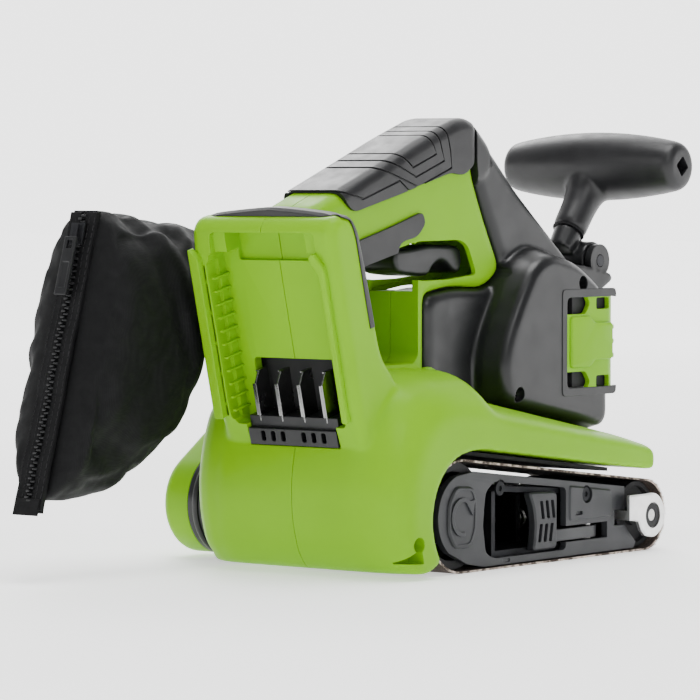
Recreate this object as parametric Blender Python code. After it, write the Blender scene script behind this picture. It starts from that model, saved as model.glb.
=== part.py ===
"""Cordless handheld belt sander for a 76 x 457 mm belt.

Frame: +X forward (towards the small front roller), +Y to the tool's left, +Z up.
The origin is the centre of the flat sole of the sanding belt.
All dimensions below are in millimetres; MM turns them into the scene's metres.
"""

import math

import bmesh
import bpy
from mathutils import Matrix, Vector

MM = 0.001
GAP = 0.3

# Sanding belt loop
BELT_HALF_WIDTH = 38.0
BELT_THICKNESS = 1.0
DRUM_AXIS = (-78.2, 27.35)
DRUM_LOOP_R = 27.35
ROLLER_AXIS = (78.25, 18.18)
ROLLER_LOOP_R = 18.18

# Shells
WALL = 3.0
PARTING_Y = 15.0
LOWER_RIGHT_Y = -45.0
LOWER_LEFT_Y = 79.0
TOWER_RIGHT_Y = -27.5
TOWER_LEFT_Y = 58.5
HANDLE_RIGHT_Y = -2.0
HANDLE_LEFT_Y = 32.0
MOTOR_RIGHT_Y = -20.0
MOTOR_LEFT_Y = 50.0
DOCK_LEAN = math.radians(14.0)

# Drive
MOTOR_AXIS = (14.0, 102.0)
AXLE_R = 5.0
MOTOR_SHAFT_R = 3.0
DRUM_PULLEY_R = 19.5
MOTOR_PULLEY_R = 6.5
PULLEY_Y = (97.0, 108.0)
CASE_Y = (79.3, 112.0)
COVER_Y = (112.3, 130.0)
CASE_R = 25.5
CASE_SMALL_R = 15.0

# Lower frame and tension mechanism
PLATE_SCREWS = ((28.0, 31.6), (-45.0, 38.8))
LEVER_PIVOT = (38.0, -30.0)
ROLLER_AXLE_R = 3.0

# Trigger and front handle
TRIGGER_PIVOT = (-22.0, 157.0)
KNUCKLE_AXIS = (91.0, 146.5)
HANDLE_BAR = (111.8, 195.0)
STEM_FOOT = (85.8, 161.5)
BAR_HALF_LENGTH = 53.0

# Dust bag
BAG_Y = 95.0
PORT_Z = 139.0
SEAM_TOP = (-199.0, 175.0)
SEAM_FOOT = (-241.0, 33.0)

LIME = (0.33, 0.67, 0.0)
BLACK = (0.026, 0.027, 0.028)
SOFT_BLACK = (0.018, 0.018, 0.019)
DARK_GREY = (0.05, 0.052, 0.055)
STEEL = (0.6, 0.6, 0.6)
ALLOY = (0.68, 0.69, 0.70)


# ---------------------------------------------------------------- materials

def paint(obj, colour, roughness, metallic):
    """Give an object its own Principled material, named after it."""
    made = bpy.data.materials.new(obj.name)
    made.use_nodes = True
    shader = made.node_tree.nodes["Principled BSDF"]
    shader.inputs["Base Color"].default_value = (*colour, 1.0)
    shader.inputs["Roughness"].default_value = roughness
    shader.inputs["Metallic"].default_value = metallic
    made.diffuse_color = (*colour, 1.0)
    obj.data.materials.clear()
    obj.data.materials.append(made)


LOOKS = {
    "lime": (LIME, 0.42, 0.0),
    "black": (BLACK, 0.5, 0.0),
    "soft": (SOFT_BLACK, 0.75, 0.0),
    "grey": (DARK_GREY, 0.55, 0.0),
    "steel": (STEEL, 0.3, 1.0),
    "alloy": (ALLOY, 0.38, 1.0),
    "copper": ((0.72, 0.32, 0.15), 0.35, 1.0),
    "grit": ((0.04, 0.03, 0.025), 0.95, 0.0),
    "board": ((0.02, 0.16, 0.06), 0.5, 0.0),
    "fabric": ((0.014, 0.014, 0.016), 0.9, 0.0),
}


# ---------------------------------------------------------------- outlines (x, z)

def arc(centre, radius, start, end, count):
    """Points on an arc in the XZ plane, angles in degrees."""
    points = []
    for i in range(count + 1):
        angle = math.radians(start + (end - start) * i / count)
        points.append((centre[0] + radius * math.cos(angle), centre[1] + radius * math.sin(angle)))
    return points


def signed_area(outline):
    total = 0.0
    for a, b in zip(outline, outline[1:] + outline[:1]):
        total += a[0] * b[1] - b[0] * a[1]
    return total / 2.0


def grow(outline, distance):
    """The outline moved outwards by distance, or inwards when it is negative."""
    sign = 1.0 if signed_area(outline) > 0 else -1.0
    count = len(outline)
    moved = []
    for i in range(count):
        before = Vector(outline[i]) - Vector(outline[i - 1])
        after = Vector(outline[(i + 1) % count]) - Vector(outline[i])
        n1 = Vector((before.y, -before.x)).normalized() * sign
        n2 = Vector((after.y, -after.x)).normalized() * sign
        miter = n1 + n2
        scale = distance / max(0.35, 1.0 + n1.dot(n2))
        moved.append((outline[i][0] + miter.x * scale, outline[i][1] + miter.y * scale))
    return moved


def blend(first, second, factor):
    return [
        (a[0] + (b[0] - a[0]) * factor, a[1] + (b[1] - a[1]) * factor)
        for a, b in zip(first, second)
    ]


def two_circle_hull(c1, r1, c2, r2, count):
    """The outline of a band stretched round two circles."""
    delta = Vector(c2) - Vector(c1)
    heading = math.degrees(math.atan2(delta.y, delta.x))
    spread = math.degrees(math.acos((r1 - r2) / delta.length))
    big = arc(c1, r1, heading + spread, heading + 360.0 - spread, count)
    small = arc(c2, r2, heading - spread, heading + spread, count)
    return big + small


# ---------------------------------------------------------------- solids

def finish(name, mesh, look, sharp=35.0):
    """Link a mesh as a named object with its material and consistent outward faces."""
    editable = bmesh.new()
    editable.from_mesh(mesh)
    bmesh.ops.recalc_face_normals(editable, faces=editable.faces)
    editable.to_mesh(mesh)
    editable.free()
    mesh.shade_smooth()
    mesh.set_sharp_from_angle(angle=math.radians(sharp))
    obj = bpy.data.objects.new(name, mesh)
    bpy.context.scene.collection.objects.link(obj)
    obj["look"] = look
    return obj


def solid(name, points, faces, look):
    mesh = bpy.data.meshes.new(name)
    mesh.from_pydata([tuple(c * MM for c in p) for p in points], [], faces)
    mesh.validate()
    return finish(name, mesh, look)


def rings_solid(name, rings, look, closed=False):
    """Join rings of points by quads; cap both ends unless the stack closes on itself."""
    count = len(rings[0])
    points = [p for ring in rings for p in ring]
    faces = []
    steps = len(rings) if closed else len(rings) - 1
    for i in range(steps):
        a = i * count
        b = ((i + 1) % len(rings)) * count
        for j in range(count):
            k = (j + 1) % count
            faces.append((a + j, a + k, b + k, b + j))
    if not closed:
        faces.append(tuple(range(count)))
        faces.append(tuple((len(rings) - 1) * count + j for j in reversed(range(count))))
    return solid(name, points, faces, look)


def loft(name, stations, look="black"):
    """A solid through XZ outlines placed at successive y values."""
    return rings_solid(name, [[(x, y, z) for x, z in outline] for y, outline in stations], look)


def prism(name, outline, y0, y1, look="black"):
    return loft(name, [(y0, outline), (y1, outline)], look)


def plan_prism(name, outline, z0, z1, look="black"):
    """A solid with an XY outline, standing between two heights."""
    return rings_solid(name, [[(x, y, z) for x, y in outline] for z in (z0, z1)], look)


def frame_prism(name, outer, inner, y0, y1, look):
    """An XZ outline with a matching inner outline taken out of it."""
    rings = [
        [(x, y0, z) for x, z in outer],
        [(x, y1, z) for x, z in outer],
        [(x, y1, z) for x, z in inner],
        [(x, y0, z) for x, z in inner],
    ]
    return rings_solid(name, rings, look, closed=True)


def box(name, xs, ys, zs, look="black"):
    return prism(name, [(xs[0], zs[0]), (xs[1], zs[0]), (xs[1], zs[1]), (xs[0], zs[1])], *ys, look)


def turned(name, profile, foot, axis, look="black", count=24):
    """Revolve a closed (along, radius) profile about an axis through foot."""
    axis = Vector(axis).normalized()
    side = axis.orthogonal().normalized()
    other = axis.cross(side)
    rings = []
    for i in range(count):
        angle = 2.0 * math.pi * i / count
        out = side * math.cos(angle) + other * math.sin(angle)
        rings.append([tuple(Vector(foot) + axis * t + out * r) for t, r in profile])
    return rings_solid(name, rings, look, closed=True)


def rod(name, profile, foot, axis, look="black", count=20):
    """A solid of revolution with full ends, from (along, radius) stations."""
    axis = Vector(axis).normalized()
    side = axis.orthogonal().normalized()
    other = axis.cross(side)
    rings = []
    for t, r in profile:
        ring = []
        for i in range(count):
            angle = 2.0 * math.pi * i / count
            out = side * math.cos(angle) + other * math.sin(angle)
            ring.append(tuple(Vector(foot) + axis * t + out * r))
        rings.append(ring)
    return rings_solid(name, rings, look)


def pin_y(name, centre, radius, y0, y1, look="black", count=16):
    return rod(name, [(0.0, radius), (y1 - y0, radius)], (centre[0], y0, centre[1]), (0, 1, 0), look, count)


def tube(name, path, outer, inner, look, count=16):
    """A hollow tube along a path of points, open at both ends."""
    points = [Vector(p) for p in path]
    tangents = []
    for i in range(len(points)):
        tangents.append((points[min(i + 1, len(points) - 1)] - points[max(i - 1, 0)]).normalized())
    side = tangents[0].orthogonal().normalized()
    outside = []
    inside = []
    for point, tangent in zip(points, tangents):
        side = (side - tangent * side.dot(tangent)).normalized()
        other = tangent.cross(side)
        spokes = [
            side * math.cos(2 * math.pi * i / count) + other * math.sin(2 * math.pi * i / count)
            for i in range(count)
        ]
        outside.append([tuple(point + s * outer) for s in spokes])
        inside.append([tuple(point + s * inner) for s in spokes])
    return rings_solid(name, outside + inside[::-1], look, closed=True)


def combine(base, tool, operation, solver="EXACT"):
    """Apply one Boolean of tool to base and remove tool."""
    step = base.modifiers.new("combine", "BOOLEAN")
    step.solver = solver
    step.operation = operation
    step.object = tool
    graph = bpy.context.evaluated_depsgraph_get()
    mesh = bpy.data.meshes.new_from_object(base.evaluated_get(graph))
    base.modifiers.clear()
    old = base.data
    base.data = mesh
    mesh.name = base.name
    bpy.data.meshes.remove(old)
    bpy.data.objects.remove(tool)
    return base


def cut(base, *tools):
    for tool in tools:
        combine(base, tool, "DIFFERENCE")
    return base


def add(base, *tools):
    for tool in tools:
        combine(base, tool, "UNION")
    return base


def keep(base, tool):
    return combine(base, tool, "INTERSECT")


def tidy(obj, look, distance=0.005):
    """Merge the near-coincident corners left by Booleans and set smoothing again."""
    editable = bmesh.new()
    editable.from_mesh(obj.data)
    bmesh.ops.remove_doubles(editable, verts=editable.verts, dist=distance * MM)
    bmesh.ops.dissolve_degenerate(editable, dist=distance * MM, edges=editable.edges)
    bmesh.ops.dissolve_limit(
        editable, angle_limit=math.radians(0.05), verts=editable.verts, edges=editable.edges
    )
    bmesh.ops.triangulate(editable, faces=editable.faces)
    editable.to_mesh(obj.data)
    editable.free()
    obj.data.shade_smooth()
    obj.data.set_sharp_from_angle(angle=math.radians(35.0))
    obj["look"] = look
    return obj


def set_origin(obj, point):
    """Move the object's origin to a point in millimetres without moving its shape."""
    place = Vector(point) * MM
    obj.data.transform(Matrix.Translation(-place))
    obj.location = place


# ---------------------------------------------------------------- outlines of the shells

BELT_WELL_R = 31.5
WELL_ARC = arc(DRUM_AXIS, BELT_WELL_R, 100.0, 218.0, 9)

LOWER_FULL = [
    (-113.0, 3.0), (-130.0, 3.0), (-137.0, 12.0), (-141.5, 27.0), (-142.5, 42.0), (-141.0, 55.0),
    (-137.5, 68.0), (-133.0, 79.0), (-122.0, 92.0), (-100.0, 97.0), (-66.0, 97.0), (-58.0, 84.0),
    (60.0, 61.1), (76.0, 56.5), (77.0, 54.0), (77.0, 41.5), (-70.0, 59.5),
] + WELL_ARC
LOWER_RIGHT = [
    (-113.0, 3.0), (-119.0, 3.0), (-122.0, 12.0), (-123.0, 27.0), (-121.5, 42.0), (-118.0, 52.0),
    (-112.5, 61.0), (-107.0, 66.5), (-99.0, 71.5), (-90.0, 73.5), (-66.0, 71.5), (-54.0, 70.0),
    (58.0, 53.5), (74.0, 51.0), (77.0, 49.0), (77.0, 41.5), (-70.0, 59.5),
] + WELL_ARC
POD = [
    (-130.0, 3.0), (-56.0, 3.0), (-40.0, 14.0), (-34.0, 52.0), (-34.0, 70.0), (-66.0, 90.0),
    (-122.0, 90.0), (-133.0, 79.0), (-137.5, 68.0), (-141.0, 55.0), (-142.5, 42.0), (-141.5, 27.0),
    (-137.0, 12.0),
]
TOWER = [
    (-137.0, 58.0), (-146.0, 80.0), (-153.2, 110.0), (-164.5, 155.0), (-165.5, 165.0), (-162.0, 170.0),
    (-156.0, 171.8), (-149.0, 171.0), (-144.0, 165.0), (-133.0, 131.0), (-125.0, 105.0), (-112.0, 92.0),
    (-110.0, 62.0),
]
HANDLE = [
    (-152.0, 163.0), (-149.0, 170.0), (-142.0, 175.5), (-130.0, 180.0), (-100.0, 191.5), (-60.0, 207.0),
    (-34.0, 216.0), (-26.0, 217.0), (-19.3, 214.8), (-19.3, 192.0), (-9.3, 170.7), (5.7, 143.3),
    (-7.3, 134.6), (-36.0, 135.6), (-58.3, 132.4), (-58.3, 87.0), (-100.0, 84.0), (-128.0, 94.0),
    (-136.0, 131.0),
]
HAND_LOOP = [
    (-122.0, 99.0), (-69.0, 99.0), (-65.5, 103.0), (-65.5, 139.0), (-64.0, 154.0), (-68.0, 158.0),
    (-106.0, 149.5), (-124.0, 145.0), (-128.5, 137.0), (-125.0, 103.0),
]
MOTOR = [
    (-58.0, 84.6), (60.0, 61.5), (76.0, 57.0), (80.0, 62.0), (82.0, 74.0), (82.0, 126.0), (79.0, 135.0),
    (66.0, 146.0), (48.0, 160.0), (18.0, 183.0), (-4.0, 203.0),
    (-19.0, 214.5), (-19.0, 192.2), (-9.0, 170.9), (6.1, 143.2), (-7.0, 134.2), (-36.0, 135.2),
    (-58.0, 132.0),
]
MOTOR_SIDE = [
    (-16.0, 78.5), (58.0, 64.5), (69.0, 62.5), (73.0, 68.0), (73.0, 126.0), (66.0, 135.0), (46.0, 147.0),
    (22.0, 152.0), (8.0, 146.0), (-2.0, 132.0), (-14.0, 112.0), (-19.0, 96.0),
]
SADDLE = [(60.0, 122.0), (80.0, 122.0), (92.0, 131.0), (103.0, 136.5), (101.0, 140.0), (88.0, 143.0), (66.0, 145.5)]
LOWER_HOLLOW = [
    (-116.5, 6.0), (-128.0, 6.0), (-134.0, 13.5), (-138.3, 28.0), (-139.3, 42.0), (-137.9, 54.0), (-134.5, 67.0),
    (-130.0, 77.5), (-120.5, 89.0), (-99.5, 93.8), (-67.5, 93.8), (-60.0, 81.2), (60.0, 57.8), (70.0, 54.0),
    (70.0, 46.0), (-68.0, 62.8),
] + arc(DRUM_AXIS, 34.7, 98.0, 214.0, 8)


def bulge(t):
    """Share of a quarter ellipse, which rounds a side face into the full outline."""
    return math.sqrt(max(0.0, 1.0 - (1.0 - t) ** 2))


def lower_stations(face_y, inner_y, parting, inset=0.0):
    """Stations of the lower shell from its side face in to the parting plane."""
    stations = []
    for t in (0.0, 0.06, 0.22, 0.5, 1.0):
        y = face_y + (inner_y - face_y) * t
        outline = blend(LOWER_RIGHT, LOWER_FULL, bulge(t))
        stations.append((y, grow(outline, -inset) if inset else outline))
    stations.append((parting, stations[-1][1]))
    return stations


def rounded(outline, face_y, parting, radius, extra=0.0):
    """Stations of a shell whose side face is rounded off by radius."""
    toward = 1.0 if parting > face_y else -1.0
    shape = grow(outline, extra) if extra else outline
    face = face_y - toward * extra
    return [
        (face, grow(shape, -radius)),
        (face + toward * radius * 0.3, grow(shape, -radius * 0.29)),
        (face + toward * radius, shape),
        (parting, shape),
    ]


# ---------------------------------------------------------------- clamshell

SCREWS = {
    "housing_screw_rear": ((-121.0, 17.0), -37.0, 76.0),
    "housing_screw_neck": ((-134.0, 165.0), 4.0, 30.5),
    "motor_screw_low": ((-5.5, 82.0), -15.0, 47.1),
    "motor_screw_high": ((49.0, 136.0), -12.0, 44.7),
}
SCREW_R = 1.8
SCREW_HEAD_R = 3.4
SCREW_END_Y = 27.0


def screw_boss(shell, spot, y0, y1):
    add(shell, pin_y("boss", spot, 4.4, y0, y1, "black", 10))


def screw_hole(shell, spot, head_y):
    """Clearance bore from the parting plane out, with the head's well outside it."""
    cut(shell, pin_y("bore", spot, SCREW_R + GAP, head_y + 0.5, SCREW_END_Y + 1.5, "black", 10))
    cut(shell, pin_y("well", spot, SCREW_HEAD_R + 0.4, -70.0, head_y + 3.0 + GAP, "black", 10))


def screw(name, spot, head_y):
    length = SCREW_END_Y - head_y
    profile = [(0.0, SCREW_HEAD_R), (3.0, SCREW_HEAD_R), (3.0, SCREW_R), (length - 2.0, SCREW_R), (length, 0.6)]
    body = rod(name, profile, (spot[0], head_y, spot[1]), (0, 1, 0), "steel", 10)
    cut(body, pin_y("socket", spot, 1.6, head_y - 1.0, head_y + 1.6, "steel", 6))
    return body


def dock_frame(points):
    """Turn dock coordinates (out from the rail plane, y, up the rails) into x, y, z."""
    foot = Vector((-141.0, 0.0, 60.0))
    out = Vector((-math.cos(DOCK_LEAN), 0.0, -math.sin(DOCK_LEAN)))
    up = Vector((-math.sin(DOCK_LEAN), 0.0, math.cos(DOCK_LEAN)))
    return [tuple(foot + out * a + up * c + Vector((0.0, b, 0.0))) for a, b, c in points]


def dock_box(name, outs, ys, ups, look="black"):
    """A box aligned with the leaning dock."""
    rings = []
    for y in ys:
        corners = [(outs[0], y, ups[0]), (outs[1], y, ups[0]), (outs[1], y, ups[1]), (outs[0], y, ups[1])]
        rings.append(dock_frame(corners))
    return rings_solid(name, rings, look)


def shell_half(name, right):
    """One half of the main housing: lower body, battery dock tower and D-handle."""
    if right:
        parting = PARTING_Y - GAP / 2
        inner = parting + 1.0
        lower = loft(name, lower_stations(LOWER_RIGHT_Y, -12.0, parting), "lime")
        tower_y, handle_y = TOWER_RIGHT_Y, HANDLE_RIGHT_Y
        hollow = [(-30.0, grow(LOWER_HOLLOW, -2.6)), (-14.0, LOWER_HOLLOW), (inner, LOWER_HOLLOW)]
    else:
        parting = PARTING_Y + GAP / 2
        inner = parting - 1.0
        lower = loft(name, lower_stations(LOWER_LEFT_Y, 56.0, parting), "lime")
        pod = [(45.0, -0.5), (60.0, -0.5), (71.0, -2.5), (77.0, -7.0), (78.8, -11.0)]
        add(lower, loft("pod", [(y, grow(POD, inset)) for y, inset in pod]))
        tower_y, handle_y = TOWER_LEFT_Y, HANDLE_LEFT_Y
        hollow = [(66.0, grow(LOWER_HOLLOW, -2.6)), (56.0, LOWER_HOLLOW), (inner, LOWER_HOLLOW)]
    add(lower, loft("tower", rounded(TOWER, tower_y, parting, 5.0)))
    add(lower, loft("handle", rounded(HANDLE, handle_y, parting, 6.0)))
    toward = 1.0 if right else -1.0
    cut(lower, loft("hollow", hollow))
    if not right:
        cut(lower, loft("pod_hollow", [(48.0, grow(POD, -WALL - 0.4)), (66.0, grow(POD, -WALL - 1.0)), (74.5, grow(POD, -11.0))]))
    tower_hollow = [
        (-128.0, 76.0), (-137.5, 118.0), (-148.0, 158.0), (-149.5, 163.0), (-146.5, 163.0), (-136.0, 131.0),
        (-128.0, 106.0), (-115.0, 92.0), (-113.0, 78.0),
    ]
    cut(lower, prism("tower_hollow", tower_hollow, tower_y + toward * WALL, inner))
    grip_hollow = prism("grip_hollow", grow(HANDLE, -WALL), handle_y + toward * 2.6, inner)
    cut(grip_hollow, prism("loop_wall", grow(HAND_LOOP, WALL), -10.0, 40.0))
    cut(lower, grip_hollow)
    cut(lower, prism("hand_loop", HAND_LOOP, -60.0, 90.0))
    return lower


def cut_dock(shell):
    """The battery slide: a recess between two rails, a pocket at its top and the terminal opening."""
    cut(shell, dock_box("recess", (-12.0, 30.0), (-18.5, 48.5), (12.0, 96.0)))
    cut(shell, dock_box("entry", (-7.0, 30.0), (-20.5, 50.5), (14.0, 92.0)))
    cut(shell, dock_box("pocket", (-16.0, -3.0), (-8.0, 38.0), (97.0, 105.0)))
    cut(shell, dock_box("terminal_window", (-20.0, 5.0), (-10.0, 40.0), (15.0, 42.0)))
    cut(shell, dock_box("block_bay", (-18.6, 5.0), (-12.1, 42.1), (1.4, 16.2)))


def cut_trigger(shell):
    """The slot that the trigger moves in and the finger window in the side wall."""
    cut(shell, box("slot", (-81.0, -24.0), (1.7, 28.3), (134.0, 163.0)))
    window = [(-72.0, 140.5), (-71.0, 155.5), (-66.0, 158.2), (-31.0, 158.6), (-24.5, 155.5), (-20.8, 148.0),
              (-17.5, 141.4), (-40.0, 139.4), (-62.0, 139.0)]
    for y0, y1 in ((-6.0, 6.0), (24.0, 36.0)):
        cut(shell, prism("window", window, y0, y1))


def build_housing():
    for name, right in (("housing_right", True), ("housing_left", False)):
        shell = shell_half(name, right)
        cut_dock(shell)
        cut_trigger(shell)
        for screw_name, (spot, head_y, post_y) in SCREWS.items():
            if not screw_name.startswith("housing"):
                continue
            if right:
                screw_boss(shell, spot, head_y - 3.7, PARTING_Y - 0.5)
            else:
                screw_boss(shell, spot, PARTING_Y + 0.5, post_y)
            screw_hole(shell, spot, head_y)
        if not right:
            cut(shell, pin_y("bearing_room", DRUM_AXIS, 14.2, 40.0, 60.0))
            cut(shell, pin_y("axle_hole", DRUM_AXIS, 8.0, 60.0, 90.0))
            cut(shell, rod("port_hole", [(0, 14.0), (20, 14.0)], (-80.0, 56.0, 88.0), (0, 0, 1), "lime", 20))
        tidy(shell, "lime")


def build_motor_case():
    """The black front case round the motor, in two halves, with the saddle for the front handle."""
    for name, right in (("motor_case_right", True), ("motor_case_left", False)):
        side = 1.0 if right else -1.0
        face = MOTOR_RIGHT_Y if right else MOTOR_LEFT_Y
        parting = PARTING_Y - side * GAP / 2
        inner = parting + side
        narrow = HANDLE_RIGHT_Y if right else HANDLE_LEFT_Y
        spine = loft(name, rounded(MOTOR, narrow, parting, 5.0), "black")
        flank = [(face, grow(MOTOR_SIDE, -6.0)), (face + side * 2.0, grow(MOTOR_SIDE, -1.8)),
                 (face + side * 6.0, MOTOR_SIDE), (face + side * 14.0, grow(MOTOR_SIDE, 2.6)),
                 (face + side * 20.0, grow(MOTOR_SIDE, 3.0)), (parting, grow(MOTOR_SIDE, 3.0))]
        add(spine, prism("saddle", SADDLE, narrow + side * 0.5, parting))
        below = prism("deck_clearance", [(-70.0, 87.1), (-70.0, 20.0), (100.0, 20.0), (100.0, 53.2),
                                         (76.0, 57.8), (60.0, 62.3)], -60.0, 90.0)
        behind = prism("handle_clearance", grow(HANDLE, 1.4), -60.0, 90.0)
        side_body = cut(loft("flank", flank), below, behind)
        add(spine, side_body)
        chamber = [(face + side * 2.6, grow(MOTOR_SIDE, -4.8)), (face + side * 8.0, grow(MOTOR_SIDE, -WALL)),
                   (inner, grow(MOTOR_SIDE, -WALL))]
        cut(spine, loft("chamber", chamber))
        spine_hollow = [(-54.5, 87.5), (-20.0, 82.0), (30.0, 74.0), (60.0, 120.0), (60.0, 138.0), (44.0, 153.0),
                        (14.0, 176.0), (-6.0, 194.0), (-15.0, 202.0), (-15.0, 193.0), (-5.0, 171.0),
                        (10.0, 143.0), (-5.0, 130.5), (-36.0, 131.6), (-54.5, 128.0)]
        cut(spine, prism("spine_hollow", spine_hollow, narrow + side * 2.6, inner))
        combine(spine, box("vent_mouth", (33.0, 95.0), (-40.0, 70.0), (82.0, 130.5)), "DIFFERENCE", "MANIFOLD")
        cheek_in = (2.7, 27.3)
        cut(spine, box("saddle_slot", (76.0, 120.0), cheek_in, (130.6, 165.0)))
        cut(spine, pin_y("knuckle_room", KNUCKLE_AXIS, 11.5, *cheek_in))
        cheek = (HANDLE_RIGHT_Y, 2.4) if right else (27.6, HANDLE_LEFT_Y)
        add(spine, pin_y("cheek", KNUCKLE_AXIS, 8.5, cheek[0] + 0.6, cheek[1] - 0.1, "black", 16))
        cut(spine, pin_y("cheek_bore", KNUCKLE_AXIS, 3.3, -10.0, 40.0, "black", 16))
        for screw_name, (spot, head_y, post_y) in SCREWS.items():
            if not screw_name.startswith("motor"):
                continue
            if right:
                screw_boss(spine, spot, head_y - 3.7, PARTING_Y - 0.5)
            else:
                screw_boss(spine, spot, PARTING_Y + 0.5, post_y)
            screw_hole(spine, spot, head_y)
        seat_y = (face + side * 2.0, face + side * 9.0)
        add(spine, pin_y("bearing_seat", MOTOR_AXIS, 12.5, min(seat_y), max(seat_y), "black", 16))
        cut(spine, pin_y("bearing_bore", MOTOR_AXIS, 9.8, face + side * 3.0 if right else face - 9.5,
                         face + 9.5 if right else face - 3.0, "black", 16))
        if not right:
            cut(spine, pin_y("shaft_hole", MOTOR_AXIS, 6.0, 30.0, 60.0, "black", 16))
        tidy(spine, "black", 0.06)


def build_vent_cover():
    """The lime wrap-round grille at the front of the motor case, with ribs and slots."""
    def wrap(offset):
        """A U in plan: right side, rounded corners, front and left side."""
        radius = 12.0
        corner_r = [(70.0, -8.0), (-90.0, 0.0)]
        corner_l = [(70.0, 38.0), (0.0, 90.0)]
        points = [(34.0, -20.0 + offset)]
        for centre, angles in (corner_r, corner_l):
            for x, y in arc(centre, radius - offset, angles[0], angles[1], 5):
                points.append((x, y))
        points.append((34.0, 50.0 - offset))
        return points
    outline = wrap(0.0) + wrap(2.6)[::-1]
    cover = plan_prism("vent_cover", outline, 82.4, 130.1, "lime")
    for i in range(5):
        z = 88.0 + 8.4 * i
        cut(cover, box("slot", (76.0, 90.0), (-6.0, 36.0), (z, z + 3.6)))
    for i in range(3):
        x = 42.0 + 9.0 * i
        cut(cover, box("side_slot", (x, x + 3.4), (-30.0, -10.0), (120.0, 127.0)))
        cut(cover, box("side_slot", (x, x + 3.4), (40.0, 60.0), (88.0, 126.0)))
    tidy(cover, "lime")


def handle_skin(name, region):
    """A soft skin wrapped round the D-handle inside an XZ region."""
    skin = loft(name, rounded(HANDLE, HANDLE_RIGHT_Y, 60.0, 6.0, 1.8), "soft")
    keep(skin, prism("left_limit", [(-200.0, 0.0), (60.0, 0.0), (60.0, 260.0), (-200.0, 260.0)], -20.0, 15.0))
    other = loft("left_skin", rounded(HANDLE, HANDLE_LEFT_Y, -40.0, 6.0, 1.8), "soft")
    keep(other, prism("right_limit", [(-200.0, 0.0), (60.0, 0.0), (60.0, 260.0), (-200.0, 260.0)], 14.9, 70.0))
    add(skin, other)
    cut(skin, prism("loop_skin", grow(HAND_LOOP, -1.8), -60.0, 90.0))
    core = loft("core", rounded(HANDLE, HANDLE_RIGHT_Y, 60.0, 6.0, GAP), "soft")
    keep(core, prism("left_limit", [(-200.0, 0.0), (60.0, 0.0), (60.0, 260.0), (-200.0, 260.0)], -20.0, 15.0))
    core_left = loft("core_left", rounded(HANDLE, HANDLE_LEFT_Y, -40.0, 6.0, GAP), "soft")
    keep(core_left, prism("right_limit", [(-200.0, 0.0), (60.0, 0.0), (60.0, 260.0), (-200.0, 260.0)], 14.9, 70.0))
    add(core, core_left)
    cut(core, prism("loop_core", grow(HAND_LOOP, -GAP), -60.0, 90.0))
    cut(skin, core)
    keep(skin, prism("region", region, -60.0, 90.0))
    tidy(skin, "soft")


def build_grips():
    handle_skin("grip_upper_overmold", [
        (-122.0, 179.0), (-117.6, 172.7), (-80.0, 181.5), (-39.7, 191.0), (-27.0, 193.0), (-20.0, 200.0),
        (-20.0, 235.0), (-150.0, 235.0),
    ])
    handle_skin("grip_lower_overmold", [
        (-118.0, 158.0), (-86.0, 165.0), (-64.0, 172.0), (-63.0, 168.5), (-74.0, 163.0), (-84.0, 158.0),
        (-85.0, 148.0),
        (-118.0, 138.0),
    ])
    bumper = [(-165.0, 171.6), (-156.0, 172.2), (-150.0, 171.7), (-149.0, 174.5), (-153.0, 177.0),
              (-161.0, 176.5), (-165.0, 174.0)]
    crest = loft("dock_bumper", [(-18.0, grow(bumper, -1.0)), (-16.0, bumper), (47.0, bumper), (49.0, grow(bumper, -1.0))], "soft")
    cut(crest, loft("top_clearance", rounded(TOWER, TOWER_RIGHT_Y, 62.0, 5.0, GAP)))
    cut(crest, loft("neck_clearance", rounded(HANDLE, HANDLE_RIGHT_Y - 2.0, 36.0, 5.0, GAP)))
    tidy(crest, "soft")


def build_dock_parts():
    block = dock_box("terminal_block", (-18.0, -1.5), (-11.5, 41.5), (2.0, 15.6), "black")
    cut(block, dock_box("notch", (-4.0, 0.0), (-14.0, 44.0), (10.0, 18.0)))
    for i in range(6):
        y = -5.0 + i * 6.0 + (6.5 if i > 2 else 0.0)
        cut(block, dock_box("eyelet", (-6.0, 0.0), (y, y + 2.2), (4.5, 8.5)))
    for i in range(4):
        y = -5.1 + 13.4 * i
        cut(block, dock_box("blade_slot", (-17.0, -5.0), (y - 0.8, y + 0.8), (11.0, 20.0)))
        blade = dock_box(f"terminal_blade_{i + 1}", (-14.5, -5.5), (y - 0.45, y + 0.45), (11.4, 37.0), "steel")
        add(blade, dock_box("foot", (-7.0, -5.5), (y - 0.45, y + 4.5), (30.0, 37.0), "steel"))
        tidy(blade, "steel")
    tidy(block, "black")
    plate = box("controller_board", (-112.0, -72.0), (-14.0, 38.0), (84.5, 86.1), "board")
    add(plate, box("capacitor", (-108.0, -96.0), (-10.0, 0.0), (78.0, 85.0)))
    add(plate, box("heat_sink", (-92.0, -78.0), (18.0, 34.0), (76.0, 85.0)))
    tidy(plate, "board")


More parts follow.
